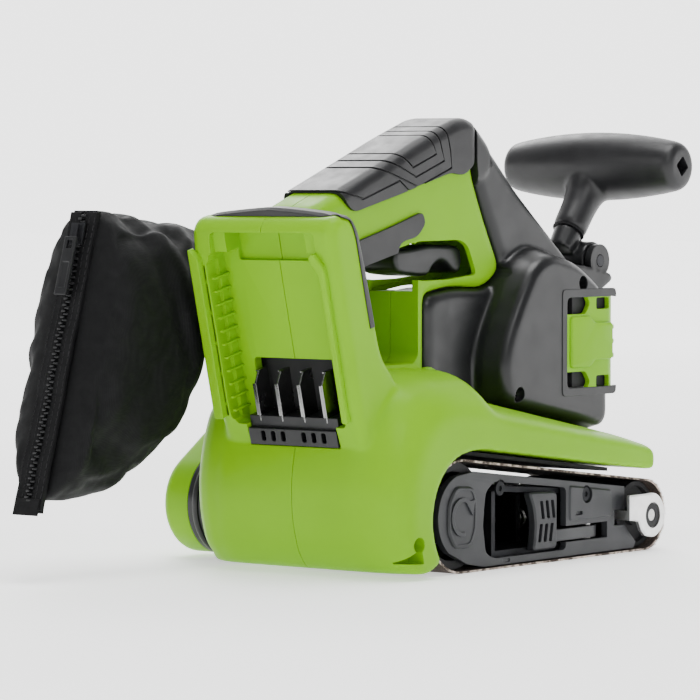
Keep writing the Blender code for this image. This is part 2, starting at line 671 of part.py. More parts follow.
def build_trigger():
    """Paddle trigger with a finger hollow, on a pivot at its upper front."""
    outline = [
        (-76.0, 154.0), (-77.0, 149.0), (-75.0, 144.0), (-70.0, 142.3), (-56.0, 141.0), (-49.0, 141.4),
        (-46.0, 145.5), (-40.0, 148.6), (-34.0, 147.4), (-29.0, 142.6), (-24.0, 142.0), (-21.5, 147.0),
        (-22.5, 154.0), (-27.0, 156.0), (-50.0, 156.5), (-62.0, 155.0),
    ]
    trigger = loft("trigger", [(3.4, grow(outline, -1.2)), (4.8, outline), (25.2, outline), (26.6, grow(outline, -1.2))], "black")
    set_origin(tidy(trigger, "black"), (TRIGGER_PIVOT[0], PARTING_Y, TRIGGER_PIVOT[1]))
    switch = box("trigger_switch", (-52.0, -28.0), (8.0, 22.0), (167.0, 185.0), "black")
    add(switch, box("plunger", (-44.0, -39.0), (12.0, 18.0), (163.5, 168.0)))
    tidy(switch, "black")


def build_motor():
    stator = turned("motor_stator", [(0, 14.8), (0, 22.3), (28, 22.3), (28, 14.8)],
                    (MOTOR_AXIS[0], -2.0, MOTOR_AXIS[1]), (0, 1, 0), "copper", 20)
    rotor_profile = [(0, MOTOR_SHAFT_R), (13, MOTOR_SHAFT_R), (13, 14.0), (38, 14.0), (38, MOTOR_SHAFT_R),
                     (124, MOTOR_SHAFT_R)]
    rotor = rod("motor_rotor", rotor_profile, (MOTOR_AXIS[0], -15.0, MOTOR_AXIS[1]), (0, 1, 0), "steel", 20)
    fan = turned("cooling_fan", [(0, 3.3), (0, 21.0), (1.6, 21.0), (1.6, 7.0), (7.5, 7.0), (7.5, 3.3)],
                 (MOTOR_AXIS[0], 28.5, MOTOR_AXIS[1]), (0, 1, 0), "black", 20)
    for i in range(7):
        angle = 2 * math.pi * i / 7
        along = Vector((math.cos(angle), math.sin(angle)))
        across = Vector((-along.y, along.x)) * 0.7
        centre = Vector(MOTOR_AXIS)
        inner_end = centre + along * 6.0
        outer_end = centre + along * 20.4 + across * 6.0
        outline = [tuple(inner_end - across), tuple(outer_end - across), tuple(outer_end + across), tuple(inner_end + across)]
        add(fan, prism("blade", outline, 29.5, 35.6))
    tidy(fan, "black")
    for name, y in (("motor_bearing_right", -16.2), ("motor_bearing_left", 41.4)):
        turned(name, [(0, 3.3), (0, 9.5), (5.4, 9.5), (5.4, 3.3)], (MOTOR_AXIS[0], y, MOTOR_AXIS[1]),
               (0, 1, 0), "steel", 16)
    for obj in (rotor, fan):
        set_origin(obj, (MOTOR_AXIS[0], PARTING_Y, MOTOR_AXIS[1]))


def build_drive():
    y0, y1 = PULLEY_Y
    width = y1 - y0
    pulley = turned("motor_pulley", [(0, 3.3), (0, MOTOR_PULLEY_R), (width, MOTOR_PULLEY_R), (width, 3.3)],
                    (MOTOR_AXIS[0], y0, MOTOR_AXIS[1]), (0, 1, 0), "steel", 16)
    set_origin(pulley, (MOTOR_AXIS[0], y0, MOTOR_AXIS[1]))
    drum_pulley = turned("drum_pulley", [(0, AXLE_R + GAP), (0, DRUM_PULLEY_R), (width, DRUM_PULLEY_R), (width, AXLE_R + GAP)],
                         (DRUM_AXIS[0], y0, DRUM_AXIS[1]), (0, 1, 0), "black", 28)
    set_origin(drum_pulley, (DRUM_AXIS[0], y0, DRUM_AXIS[1]))
    inner = two_circle_hull(DRUM_AXIS, DRUM_PULLEY_R + GAP, MOTOR_AXIS, MOTOR_PULLEY_R + GAP, 12)
    outer = two_circle_hull(DRUM_AXIS, DRUM_PULLEY_R + 2.0, MOTOR_AXIS, MOTOR_PULLEY_R + 2.0, 12)
    frame_prism("drive_timing_belt", outer, inner, y0 + 0.8, y1 - 0.8, "soft")

    shape = two_circle_hull(DRUM_AXIS, CASE_R, MOTOR_AXIS, CASE_SMALL_R, 14)
    room = two_circle_hull(DRUM_AXIS, CASE_R - 2.4, MOTOR_AXIS, CASE_SMALL_R - 2.4, 14)
    case = loft("drive_case", [(CASE_Y[0], grow(shape, -2.0)), (CASE_Y[0] + 3.0, shape), (CASE_Y[1], shape)], "black")
    add(case, pin_y("motor_spigot", MOTOR_AXIS, 11.0, MOTOR_LEFT_Y + GAP, CASE_Y[0] + 2.0, "black", 16))
    cut(case, prism("case_room", room, CASE_Y[0] + 2.6, CASE_Y[1] + 2.0))
    cut(case, pin_y("axle_hole", DRUM_AXIS, 7.0, CASE_Y[0] - 6.0, CASE_Y[0] + 14.0, "black", 16))
    cut(case, pin_y("spigot_bore", MOTOR_AXIS, 7.0, MOTOR_LEFT_Y - 4.0, CASE_Y[0] + 14.0, "black", 16))
    tidy(case, "black")

    cover = loft("drive_cover", [(COVER_Y[0], shape), (COVER_Y[1] - 5.0, shape), (COVER_Y[1] - 1.5, grow(shape, -1.8)),
                                 (COVER_Y[1], grow(shape, -5.0))], "lime")
    cut(cover, loft("cover_room", [(COVER_Y[0] - 2.0, room), (COVER_Y[1] - 6.5, room), (COVER_Y[1] - 2.6, grow(room, -3.0))]))
    middle = blend([DRUM_AXIS], [MOTOR_AXIS], 0.5)[0]
    cut(cover, pin_y("well", middle, 3.2, COVER_Y[1] - 2.0, COVER_Y[1] + 4.0, "lime", 12))
    cut(cover, pin_y("bore", middle, 1.9, COVER_Y[1] - 12.0, COVER_Y[1] + 4.0, "lime", 12))
    y = COVER_Y[1] - 1.7
    head = rod("cover_screw", [(-7.0, 1.6), (0.0, 1.6), (0.0, 2.8), (2.0, 2.8)], (middle[0], y, middle[1]),
               (0, 1, 0), "steel", 10)
    cut(head, pin_y("socket", middle, 1.3, y + 0.8, y + 4.0, "steel", 6))
    tidy(head, "steel")
    tidy(cover, "lime")


def build_rollers():
    drum = turned("drive_drum", [
        (7.5, 5.3), (7.5, 9.0), (10, 9.0), (10, 21.5), (0, 21.5), (0, 26.0), (68, 26.0), (68, 21.5), (56, 21.5), (56, 9.0),
        (68, 9.0), (68, 5.3),
    ], (DRUM_AXIS[0], -32.0, DRUM_AXIS[1]), (0, 1, 0), "soft", 24)
    axle = rod("drum_axle", [(0, 4.2), (0.8, AXLE_R), (139.0, AXLE_R), (140.0, 4.2)],
               (DRUM_AXIS[0], -30.0, DRUM_AXIS[1]), (0, 1, 0), "steel", 20)
    for obj in (drum, axle):
        set_origin(obj, (DRUM_AXIS[0], 0.0, DRUM_AXIS[1]))
    for name, y, width in (("drum_bearing_left", 40.2, 7.0), ("drum_bearing_right", -32.7, 6.4)):
        turned(name, [(0, 5.3), (0, 11.0), (width, 11.0), (width, 5.3)], (DRUM_AXIS[0], y, DRUM_AXIS[1]),
               (0, 1, 0), "steel", 16)
    roller = turned("front_roller", [
        (0, 3.3), (0, 6.0), (3, 6.0), (3, 14.6), (0, 14.6), (0, 16.85), (64.6, 16.85), (64.6, 14.6), (61.6, 14.6),
        (61.6, 6.0), (64.6, 6.0), (64.6, 3.3),
    ], (ROLLER_AXIS[0], -32.0, ROLLER_AXIS[1]), (0, 1, 0), "soft", 20)
    set_origin(roller, (ROLLER_AXIS[0], 0.0, ROLLER_AXIS[1]))
    rod("roller_axle", [(0, ROLLER_AXLE_R), (79.0, ROLLER_AXLE_R)], (ROLLER_AXIS[0], -42.0, ROLLER_AXIS[1]),
        (0, 1, 0), "steel", 16)

    loop_outer = two_circle_hull(DRUM_AXIS, DRUM_LOOP_R, ROLLER_AXIS, ROLLER_LOOP_R, 18)
    loop_inner = two_circle_hull(DRUM_AXIS, DRUM_LOOP_R - BELT_THICKNESS, ROLLER_AXIS, ROLLER_LOOP_R - BELT_THICKNESS, 18)
    frame_prism("sanding_belt", loop_outer, loop_inner, -BELT_HALF_WIDTH, BELT_HALF_WIDTH, "grit")


def build_frame():
    wall = two_circle_hull(DRUM_AXIS, 24.0, (66.0, 20.0), 15.0, 12)
    frame = prism("base_frame", wall, 39.4, 44.6, "alloy")
    trough = [(-46.0, 5.0), (42.0, 5.0), (42.0, 33.0), (-46.0, 40.0)]
    add(frame, prism("trough", trough, -31.8, 40.0))
    cut(frame, prism("trough_room", [(-43.0, 8.0), (39.0, 8.0), (39.0, 30.4), (-43.0, 37.0)], -40.0, 36.0))
    add(frame, box("stop_wall", (5.0, 8.5), (-10.0, 37.0), (6.0, 31.5)))
    cut(frame, box("lever_gap", (30.0, 50.0), (-40.0, -22.0), (8.0, 18.5)))
    cut(frame, rod("rod_bore", [(0, 3.5), (60, 3.5)], (0.0, 6.0, 18.0), (1, 0, 0), "alloy", 16))
    add(frame, pin_y("bearing_boss", DRUM_AXIS, 13.5, 41.0, 47.4, "alloy", 16))
    cut(frame, pin_y("bearing_bore", DRUM_AXIS, 11.3, 39.9, 50.0, "alloy", 16))
    cut(frame, pin_y("axle_bore", DRUM_AXIS, 7.0, 30.0, 50.0, "alloy", 16))
    cut(frame, pin_y("knob_bore", (52.0, 24.0), 2.4, 30.0, 50.0, "alloy", 14))
    for spot in PLATE_SCREWS:
        cut(frame, pin_y("plate_thread", spot, 1.9, -40.0, -20.0, "alloy", 12))
    tidy(frame, "alloy")

    plate_outline = (
        arc((-74.8, 27.0), 20.5, 105.0, 235.0, 8)
        + [(-72.0, 4.0), (-58.0, 1.7), (70.0, 1.7), (72.0, 5.0), (66.0, 10.0), (62.0, 14.0), (53.0, 14.2),
           (53.0, 22.0), (61.5, 22.2), (61.8, 33.5), (-66.0, 48.2)]
    )
    plate = prism("side_frame_plate", plate_outline, -36.5, -33.0, "grey")
    window = [(-57.0, 8.0), (-50.0, 5.2), (10.5, 5.2), (10.5, 43.0 - 7.0), (-50.0, 42.5), (-57.0, 38.0), (-59.5, 23.0)]
    cut(plate, prism("window", window, -40.0, -30.0))
    cut(plate, box("lever_slot", (4.0, 46.5), (-40.0, -30.0), (8.8, 16.8)))
    badge = [(-83.0, 12.0), (-70.0, 12.0), (-65.5, 20.0), (-65.0, 34.0), (-68.0, 41.0), (-82.0, 42.0), (-88.0, 34.0), (-88.5, 20.0)]
    add(plate, prism("raised_panel", badge, -37.4, -34.0))
    add(plate, turned("bearing_cup", [(0, 11.3), (0, 14.0), (8.5, 14.0), (8.5, 11.3)],
                      (DRUM_AXIS[0], -33.8, DRUM_AXIS[1]), (0, 1, 0), "grey", 20))
    for spot in PLATE_SCREWS:
        cut(plate, pin_y("plate_hole", spot, 2.1, -40.0, -30.0, "grey", 12))
        cut(plate, pin_y("plate_well", spot, 4.2, -40.0, -35.0, "grey", 16))
    tidy(plate, "grey")
    for i, spot in enumerate(PLATE_SCREWS):
        head = rod(f"plate_screw_{i + 1}", [(0, 3.6), (1.2, 3.6), (1.2, 1.6), (11.0, 1.6)],
                   (spot[0], -36.4, spot[1]), (0, 1, 0), "steel", 10)
        cut(head, pin_y("socket", spot, 1.5, -37.0, -35.7, "steel", 6))
        tidy(head, "steel")

    box("platen_plate", (-58.0, 58.0), (-32.4, 36.0), (1.3, 2.3), "steel")
    box("platen_pad", (-54.0, 56.0), (-32.0, 35.6), (2.6, 4.6), "grit")


def build_tension():
    carriage = box("roller_carriage", (50.5, 57.7), (-31.0, 36.0), (9.5, 24.0), "steel")
    arm = [(50.5, 9.5), (78.0, 9.5), (84.5, 12.5), (86.5, 18.2), (84.5, 24.0), (78.0, 27.0), (50.5, 24.0)]
    add(carriage, prism("arm", arm, 33.4, 36.4))
    cut(carriage, pin_y("axle_bore", ROLLER_AXIS, ROLLER_AXLE_R + GAP, 30.0, 40.0, "steel", 16))
    add(carriage, rod("guide", [(0, 3.0), (50.0, 3.0)], (1.5, 6.0, 18.0), (1, 0, 0), "steel", 16))
    add(carriage, rod("collar", [(0, 6.2), (2.5, 6.2)], (32.0, 6.0, 18.0), (1, 0, 0), "steel", 16))
    tidy(carriage, "steel")

    eye = arc(ROLLER_AXIS, 11.2, -90.0, 90.0, 9)
    hook = eye + [(70.0, 29.2), (58.2, 29.2), (58.2, 16.5), (62.0, 16.2), (66.0, 15.5), (68.5, 11.0), (72.0, 8.0)]
    bracket = loft("roller_bracket", [(-43.0, grow(hook, -0.7)), (-42.3, hook), (-40.5, hook)], "steel")
    add(bracket, box("tab", (58.2, 60.4), (-41.5, -31.3), (16.6, 21.2)))
    cut(bracket, pin_y("eye_hole", ROLLER_AXIS, ROLLER_AXLE_R + 0.8, -50.0, -30.0, "steel", 18))
    tidy(bracket, "steel")

    turns, per_turn, sides = 5, 10, 4
    start, length, coil_r, wire = 9.4, 21.8, 4.9, 0.75
    rings = []
    for i in range(turns * per_turn + 1):
        angle = 2 * math.pi * i / per_turn
        out = Vector((0.0, math.cos(angle), math.sin(angle)))
        centre = Vector((start + wire + (length - 2 * wire) * i / (turns * per_turn), 6.0, 18.0)) + out * coil_r
        rings.append([
            tuple(centre + out * wire * math.cos(2 * math.pi * k / sides) + Vector((wire * math.sin(2 * math.pi * k / sides), 0, 0)))
            for k in range(sides)
        ])
    rings_solid("tension_spring", rings, "steel")

    px, py = LEVER_PIVOT
    lever = plan_prism("tension_lever", [
        (px + 3.2, py - 3.4), (px + 4.6, py), (px + 3.2, py + 3.4), (px - 2.0, py + 4.0), (px - 6.0, py + 0.6),
        (-6.0, py - 2.4), (-6.0, py - 5.6), (px - 3.0, py - 5.6),
    ], 9.6, 15.4, "grey")
    tab = [(-17.0, 6.3), (3.4, 6.3), (3.4, 34.5), (-20.5, 35.4), (-16.5, 28.0), (-15.0, 20.0), (-15.6, 12.0)]
    add(lever, prism("tab", tab, -36.2, -32.2))
    for row in range(3):
        for side in range(2):
            x = -11.5 + side * 8.0
            z = 11.0 + row * 8.0
            louvre = [(x, z), (x + 5.5, z + 1.6), (x + 5.5, z + 4.6), (x, z + 3.0)]
            cut(lever, prism("louvre", louvre, -40.0, -34.4))
    cut(lever, rod("pivot_bore", [(0, 2.1), (20, 2.1)], (px, py, 4.0), (0, 0, 1), "grey", 14))
    set_origin(tidy(lever, "grey"), (px, py, 12.5))
    rod("lever_pin", [(0, 1.8), (9.6, 1.8)], (px, py, 8.3), (0, 0, 1), "steel", 14)

    knob = rod("tracking_knob", [(0, 2.0), (8.0, 2.0), (8.0, 9.0), (9.0, 10.0), (18.0, 10.0), (19.0, 9.0)],
               (52.0, 37.4, 24.0), (0, 1, 0), "black", 20)
    for i in range(10):
        angle = 2 * math.pi * (i + 0.5) / 10
        spot = (52.0 + 10.4 * math.cos(angle), 24.0 + 10.4 * math.sin(angle))
        cut(knob, pin_y("flute", spot, 1.3, 44.0, 60.0, "black", 8))
    set_origin(tidy(knob, "black"), (52.0, 45.0, 24.0))


def build_front_handle():
    half = BAR_HALF_LENGTH
    profile = [(-half, 9.0), (-half + 3.0, 12.0), (-half + 14.0, 13.4), (-24.0, 17.0), (-10.0, 18.0), (10.0, 18.0),
               (24.0, 17.0), (half - 14.0, 13.4), (half - 3.0, 12.0), (half, 9.0)]
    bar = rod("front_handle", profile, (HANDLE_BAR[0], PARTING_Y, HANDLE_BAR[1]), (0, 1, 0), "soft", 20)
    direction = Vector((HANDLE_BAR[0] - STEM_FOOT[0], 0.0, HANDLE_BAR[1] - STEM_FOOT[1]))
    reach = direction.length
    add(bar, rod("stem", [(0, 7.5), (2.0, 8.6), (14.0, 8.6), (reach - 6.0, 12.0), (reach, 10.0)],
                 (STEM_FOOT[0], PARTING_Y, STEM_FOOT[1]), direction, "soft", 20))
    cut(bar, rod("stud_bore", [(-4, 2.8), (16, 2.8)], (STEM_FOOT[0], PARTING_Y, STEM_FOOT[1]), direction, "soft", 14))
    for sign in (-1, 1):
        ends = sorted((PARTING_Y + sign * (half - 6.0), PARTING_Y + sign * (half + 4.0)))
        hole = [(HANDLE_BAR[0] - 5.0, HANDLE_BAR[1]), (HANDLE_BAR[0], HANDLE_BAR[1] - 3.6),
                (HANDLE_BAR[0] + 5.0, HANDLE_BAR[1]), (HANDLE_BAR[0], HANDLE_BAR[1] + 3.6)]
        cut(bar, prism("end_hole", hole, *ends))
    set_origin(tidy(bar, "soft"), (STEM_FOOT[0], PARTING_Y, STEM_FOOT[1]))

    unit = direction.normalized()
    knuckle = pin_y("handle_knuckle", KNUCKLE_AXIS, 9.8, 3.0, 27.0, "black", 24)
    foot = Vector((STEM_FOOT[0], PARTING_Y, STEM_FOOT[1]))
    neck_start = foot - unit * 12.0
    add(knuckle, rod("neck", [(0, 6.5), (11.6, 7.2)], neck_start, unit, "black", 16))
    add(knuckle, box("web", (82.0, 92.0), (9.0, 21.0), (147.0, 156.0)))
    cut(knuckle, pin_y("bore", KNUCKLE_AXIS, 3.3, -5.0, 35.0, "black", 16))
    cut(knuckle, rod("stud_bore", [(-4.0, 2.7), (16, 2.7)], foot - unit * 7.0, unit, "black", 10))
    set_origin(tidy(knuckle, "black"), (KNUCKLE_AXIS[0], PARTING_Y, KNUCKLE_AXIS[1]))
    rod("handle_stud", [(0, 2.4), (19.0, 2.4)], foot - unit * 6.5, unit, "steel", 14)
    rod("knuckle_pin", [(0, 3.0), (33.0, 3.0)], (KNUCKLE_AXIS[0], -1.5, KNUCKLE_AXIS[1]), (0, 1, 0), "steel", 16)


def build_dust_parts():
    path = [(-80.0, 56.0, 91.0), (-80.0, 56.5, 104.0), (-79.5, 60.0, 118.0), (-79.0, 68.0, 129.5), (-79.5, 78.0, 136.5),
            (-82.5, 87.0, 139.0), (-89.0, 93.5, 139.0), (-99.0, 95.0, 139.0), (-118.0, 95.0, 139.0)]
    tube("dust_port", path, 13.0, 11.0, "black", 14)
    turned("bag_collar", [(0, 13.3), (0, 16.0), (3.0, 17.5), (6.0, 16.0), (15.0, 16.0), (15.0, 13.3)],
           (-101.0, BAG_Y, PORT_Z), (-1, 0, 0), "black", 18)

    stations = [
        (-104.0, PORT_Z + 20.0, -104.0, PORT_Z - 20.0, 20.0),
        (-112.0, 162.0, -111.0, 114.0, 25.0),
        (-126.0, 168.0, -126.0, 107.0, 29.0),
        (-148.0, 172.0, -154.0, 62.0, 31.0),
        (-172.0, 176.0, -188.0, 38.0, 29.0),
        (-188.0, 176.5, -221.0, 35.0, 20.0),
        (-196.0, 175.5, -236.0, 34.0, 8.5),
    ]

    def section(station, shrink):
        top = Vector((station[0], station[1]))
        low = Vector((station[2], station[3]))
        centre = (top + low) / 2
        half = (top - low) / 2
        half -= half.normalized() * shrink
        ring = []
        for i in range(20):
            angle = 2 * math.pi * i / 20
            c, s = math.cos(angle), math.sin(angle)
            across = math.copysign(abs(c) ** 0.8, c) * (station[4] - shrink)
            spot = centre + half * math.copysign(abs(s) ** 0.8, s)
            ring.append((spot.x, BAG_Y + across, spot.y))
        return ring

    outside = [section(s, 0.0) for s in stations]
    inside = [section(s, 2.0) for s in stations[:-1]]
    count = 20
    points = [p for ring in outside + inside for p in ring]
    faces = []
    order = list(range(len(outside)))
    for a, b in zip(order, order[1:]):
        for j in range(count):
            k = (j + 1) % count
            faces.append((a * count + j, a * count + k, b * count + k, b * count + j))
    base = len(outside)
    for a in range(base, base + len(inside) - 1):
        for j in range(count):
            k = (j + 1) % count
            faces.append((a * count + j, (a + 1) * count + j, (a + 1) * count + k, a * count + k))
    for j in range(count):
        k = (j + 1) % count
        faces.append((j, base * count + j, base * count + k, k))
    faces.append(tuple((base - 1) * count + j for j in range(count)))
    faces.append(tuple((base + len(inside) - 1) * count + j for j in range(count)))
    bag = solid("dust_bag", points, faces, "fabric")
    cut(bag, rod("neck_room", [(0, 17.9), (16.0, 17.9)], (-101.5, BAG_Y, PORT_Z), (-1, 0, 0), "fabric", 18))
    tidy(bag, "fabric")

    top = Vector((SEAM_TOP[0], 0.0, SEAM_TOP[1]))
    low = Vector((SEAM_FOOT[0], 0.0, SEAM_FOOT[1]))
    down = (low - top).normalized()
    back = Vector((down.z, 0.0, -down.x))
    length = (low - top).length

    def seam_box(name, along, across, outs, look):
        rings = []
        for y in across:
            corners = [(outs[0], along[0]), (outs[1], along[0]), (outs[1], along[1]), (outs[0], along[1])]
            rings.append([tuple(top + down * a + back * o + Vector((0.0, BAG_Y + y, 0.0))) for o, a in corners])
        return rings_solid(name, rings, look)

    tape = seam_box("zipper_tape", (2.0, length - 2.0), (-7.0, 7.0), (-2.2, -1.0), "fabric")
    add(tape, seam_box("teeth", (3.0, length - 3.0), (-2.0, 2.0), (-1.2, 0.4), "fabric"))
    tidy(tape, "fabric")
    slider = seam_box("zipper_slider", (9.0, 19.0), (-4.0, 4.0), (0.8, 3.2), "black")
    set_origin(tidy(slider, "black"), tuple(top + down * 14.0 + Vector((0.0, BAG_Y, 0.0))))
    pull = seam_box("zipper_pull", (16.0, 44.0), (-3.2, 3.2), (3.6, 5.2), "black")
    set_origin(tidy(pull, "black"), tuple(top + down * 16.0 + back * 4.4 + Vector((0.0, BAG_Y, 0.0))))


def main():
    for obj in list(bpy.data.objects):
        bpy.data.objects.remove(obj)
    build_housing()
    build_motor_case()
    build_vent_cover()
    build_grips()
    build_dock_parts()
    build_trigger()
    build_motor()
    build_drive()
    build_rollers()
    build_frame()
    build_tension()
    build_front_handle()
    build_dust_parts()
    for name, (spot, head_y, _) in SCREWS.items():
        tidy(screw(name, spot, head_y), "steel")
    for obj in bpy.data.objects:
        paint(obj, *LOOKS[obj["look"]])


main()
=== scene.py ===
"""Looks of the cordless belt sander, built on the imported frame.

Same frame as the CAD: +X forward, +Y to the tool's left, +Z up, origin at the centre of the sole.
Sizes here are in millimetres and MM turns them into the scene's metres.
"""
import math
import random

import bmesh
import bpy
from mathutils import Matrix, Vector


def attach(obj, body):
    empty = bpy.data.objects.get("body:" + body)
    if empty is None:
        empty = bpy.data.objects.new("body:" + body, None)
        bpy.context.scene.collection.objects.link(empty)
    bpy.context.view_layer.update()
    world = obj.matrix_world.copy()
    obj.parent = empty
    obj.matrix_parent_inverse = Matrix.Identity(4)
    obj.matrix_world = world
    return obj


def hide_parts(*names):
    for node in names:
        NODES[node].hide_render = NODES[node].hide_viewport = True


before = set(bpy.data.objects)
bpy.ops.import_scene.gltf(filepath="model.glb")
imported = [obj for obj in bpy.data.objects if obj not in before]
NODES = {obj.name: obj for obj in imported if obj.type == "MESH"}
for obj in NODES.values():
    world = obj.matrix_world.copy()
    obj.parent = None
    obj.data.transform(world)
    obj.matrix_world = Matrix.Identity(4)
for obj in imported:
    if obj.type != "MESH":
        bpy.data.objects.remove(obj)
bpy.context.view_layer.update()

MM = 0.001
GAP = 0.3                 # between the two halves of a shell
THROUGH_Y = (-60, 90)     # a cut right through both shells
SCREW_WELL_R = 3.8
SCREW_BORE_R = 2.1
CORNER_R = 7              # softened corners of the shells' outlines
LOOP_CORNER_R = 5         # and of the hand loop
GRIP_LIFT = 1.75          # the soft grips stand out from the handle by this
GROOVE_LIFT = 0.9         # and the floors of their grooves by this
GRIP_FIT = 0.2            # and their undersides by this

# Sanding belt loop
BELT_HALF_WIDTH = 38
BELT_THICKNESS = 1
THREADS = 260             # frayed ones along the belt's edges
DRUM_AXIS = (-78.2, 27.35)
DRUM_LOOP_R = 27.35
ROLLER_AXIS = (78.25, 18.18)
ROLLER_LOOP_R = 18.18

# Shells
WALL = 3
PARTING_Y = 15
LOWER_RIGHT_Y = -45
LOWER_LEFT_Y = 79
TOWER_RIGHT_Y = -27.5
TOWER_LEFT_Y = 58.5
HANDLE_RIGHT_Y = -2
HANDLE_LEFT_Y = 32
MOTOR_RIGHT_Y = -20
MOTOR_LEFT_Y = 50
DOCK_LEAN = math.radians(14)

# Drive
MOTOR_AXIS = (14, 102)
CASE_Y = (79.3, 112)
COVER_Y = (112.3, 130)
CASE_R = 25.5
CASE_SMALL_R = 15

# Lower frame and tension mechanism
PLATE_SCREWS = ((28, 31.6), (-45, 38.8))
LEVER_PIVOT = (38, -30)

# Repeated ribs, slots and webs
RAIL_RIB_PITCH = 6.5
RAIL_WEB_PITCH = 15
VENT_PITCH = 7.2
LOUVRE_PITCH = 4.6
CASE_RIB_PITCH = 7

# Front handle
KNUCKLE_AXIS = (91, 146.5)
HANDLE_BAR = (111.8, 195)
STEM_FOOT = (85.8, 161.5)
BAR_HALF_LENGTH = 53

# Dust bag
BAG_Y = 95
PORT_Z = 139
SEAM_TOP = (-199, 175)
SEAM_FOOT = (-241, 33)
STITCH_PITCH = 3.6
TOOTH_PITCH = 1.5
BAG_VOXEL = 0.0048        # metres
CLOTH_FRAMES = 20
CLOTH_REACH = 0.0035      # metres the cloth may move away from its first form

# Terminal blades
BLADE_FIRST_Y = -5.1
BLADE_PITCH = 13.4

# Studio
FLOOR_REACH = 9000
LAMP_AIM = (-0.05, 0.05, 0.1)
CAMERA_AIM = (-0.0512, 0.0510, 0.1038)


def arc(centre, radius, start, end, count):
    """Points on an arc in the XZ plane, angles in degrees."""
    points = []
    for i in range(count + 1):
        angle = math.radians(start + (end - start) * i / count)
        points.append((centre[0] + radius * math.cos(angle), centre[1] + radius * math.sin(angle)))
    return points


def signed_area(outline):
    total = 0
    for a, b in zip(outline, outline[1:] + outline[:1]):
        total += a[0] * b[1] - b[0] * a[1]
    return total / 2


def grow(outline, distance):
    """The outline moved outwards by distance, or inwards when it is negative."""
    sign = 1 if signed_area(outline) > 0 else -1
    count = len(outline)
    moved = []
    for i in range(count):
        before = Vector(outline[i]) - Vector(outline[i - 1])
        after = Vector(outline[(i + 1) % count]) - Vector(outline[i])
        n1 = Vector((before.y, -before.x)).normalized() * sign
        n2 = Vector((after.y, -after.x)).normalized() * sign
        miter = n1 + n2
        scale = distance / max(0.35, 1 + n1.dot(n2))
        moved.append((outline[i][0] + miter.x * scale, outline[i][1] + miter.y * scale))
    return moved


def rect(u0, v0, u1, v1):
    """The four corners of a rectangle, in the order all outlines here are given."""
    return [(u0, v0), (u1, v0), (u1, v1), (u0, v1)]


def blend(first, second, factor):
    return [
        (a[0] + (b[0] - a[0]) * factor, a[1] + (b[1] - a[1]) * factor)
        for a, b in zip(first, second)
    ]


def two_circle_hull(c1, r1, c2, r2, count):
    """The outline of a band stretched round two circles."""
    delta = Vector(c2) - Vector(c1)
    heading = math.degrees(math.atan2(delta.y, delta.x))
    spread = math.degrees(math.acos((r1 - r2) / delta.length))
    big = arc(c1, r1, heading + spread, heading + 360 - spread, count)
    small = arc(c2, r2, heading - spread, heading + spread, count)
    return big + small


def soften(outline, radius, steps=4):
    """Round every corner of an outline with a short arc; each corner gives the same number of points."""
    rounded_outline = []
    count = len(outline)
    for i in range(count):
        corner = Vector(outline[i])
        before = Vector(outline[i - 1]) - corner
        after = Vector(outline[(i + 1) % count]) - corner
        reach = min(radius, 0.42 * before.length, 0.42 * after.length)
        start = corner + before.normalized() * reach
        end = corner + after.normalized() * reach
        for k in range(steps + 1):
            t = k / steps
            spot = start * (1 - t) ** 2 + corner * 2 * t * (1 - t) + end * t ** 2
            rounded_outline.append((spot.x, spot.y))
    return rounded_outline


# ---- materials

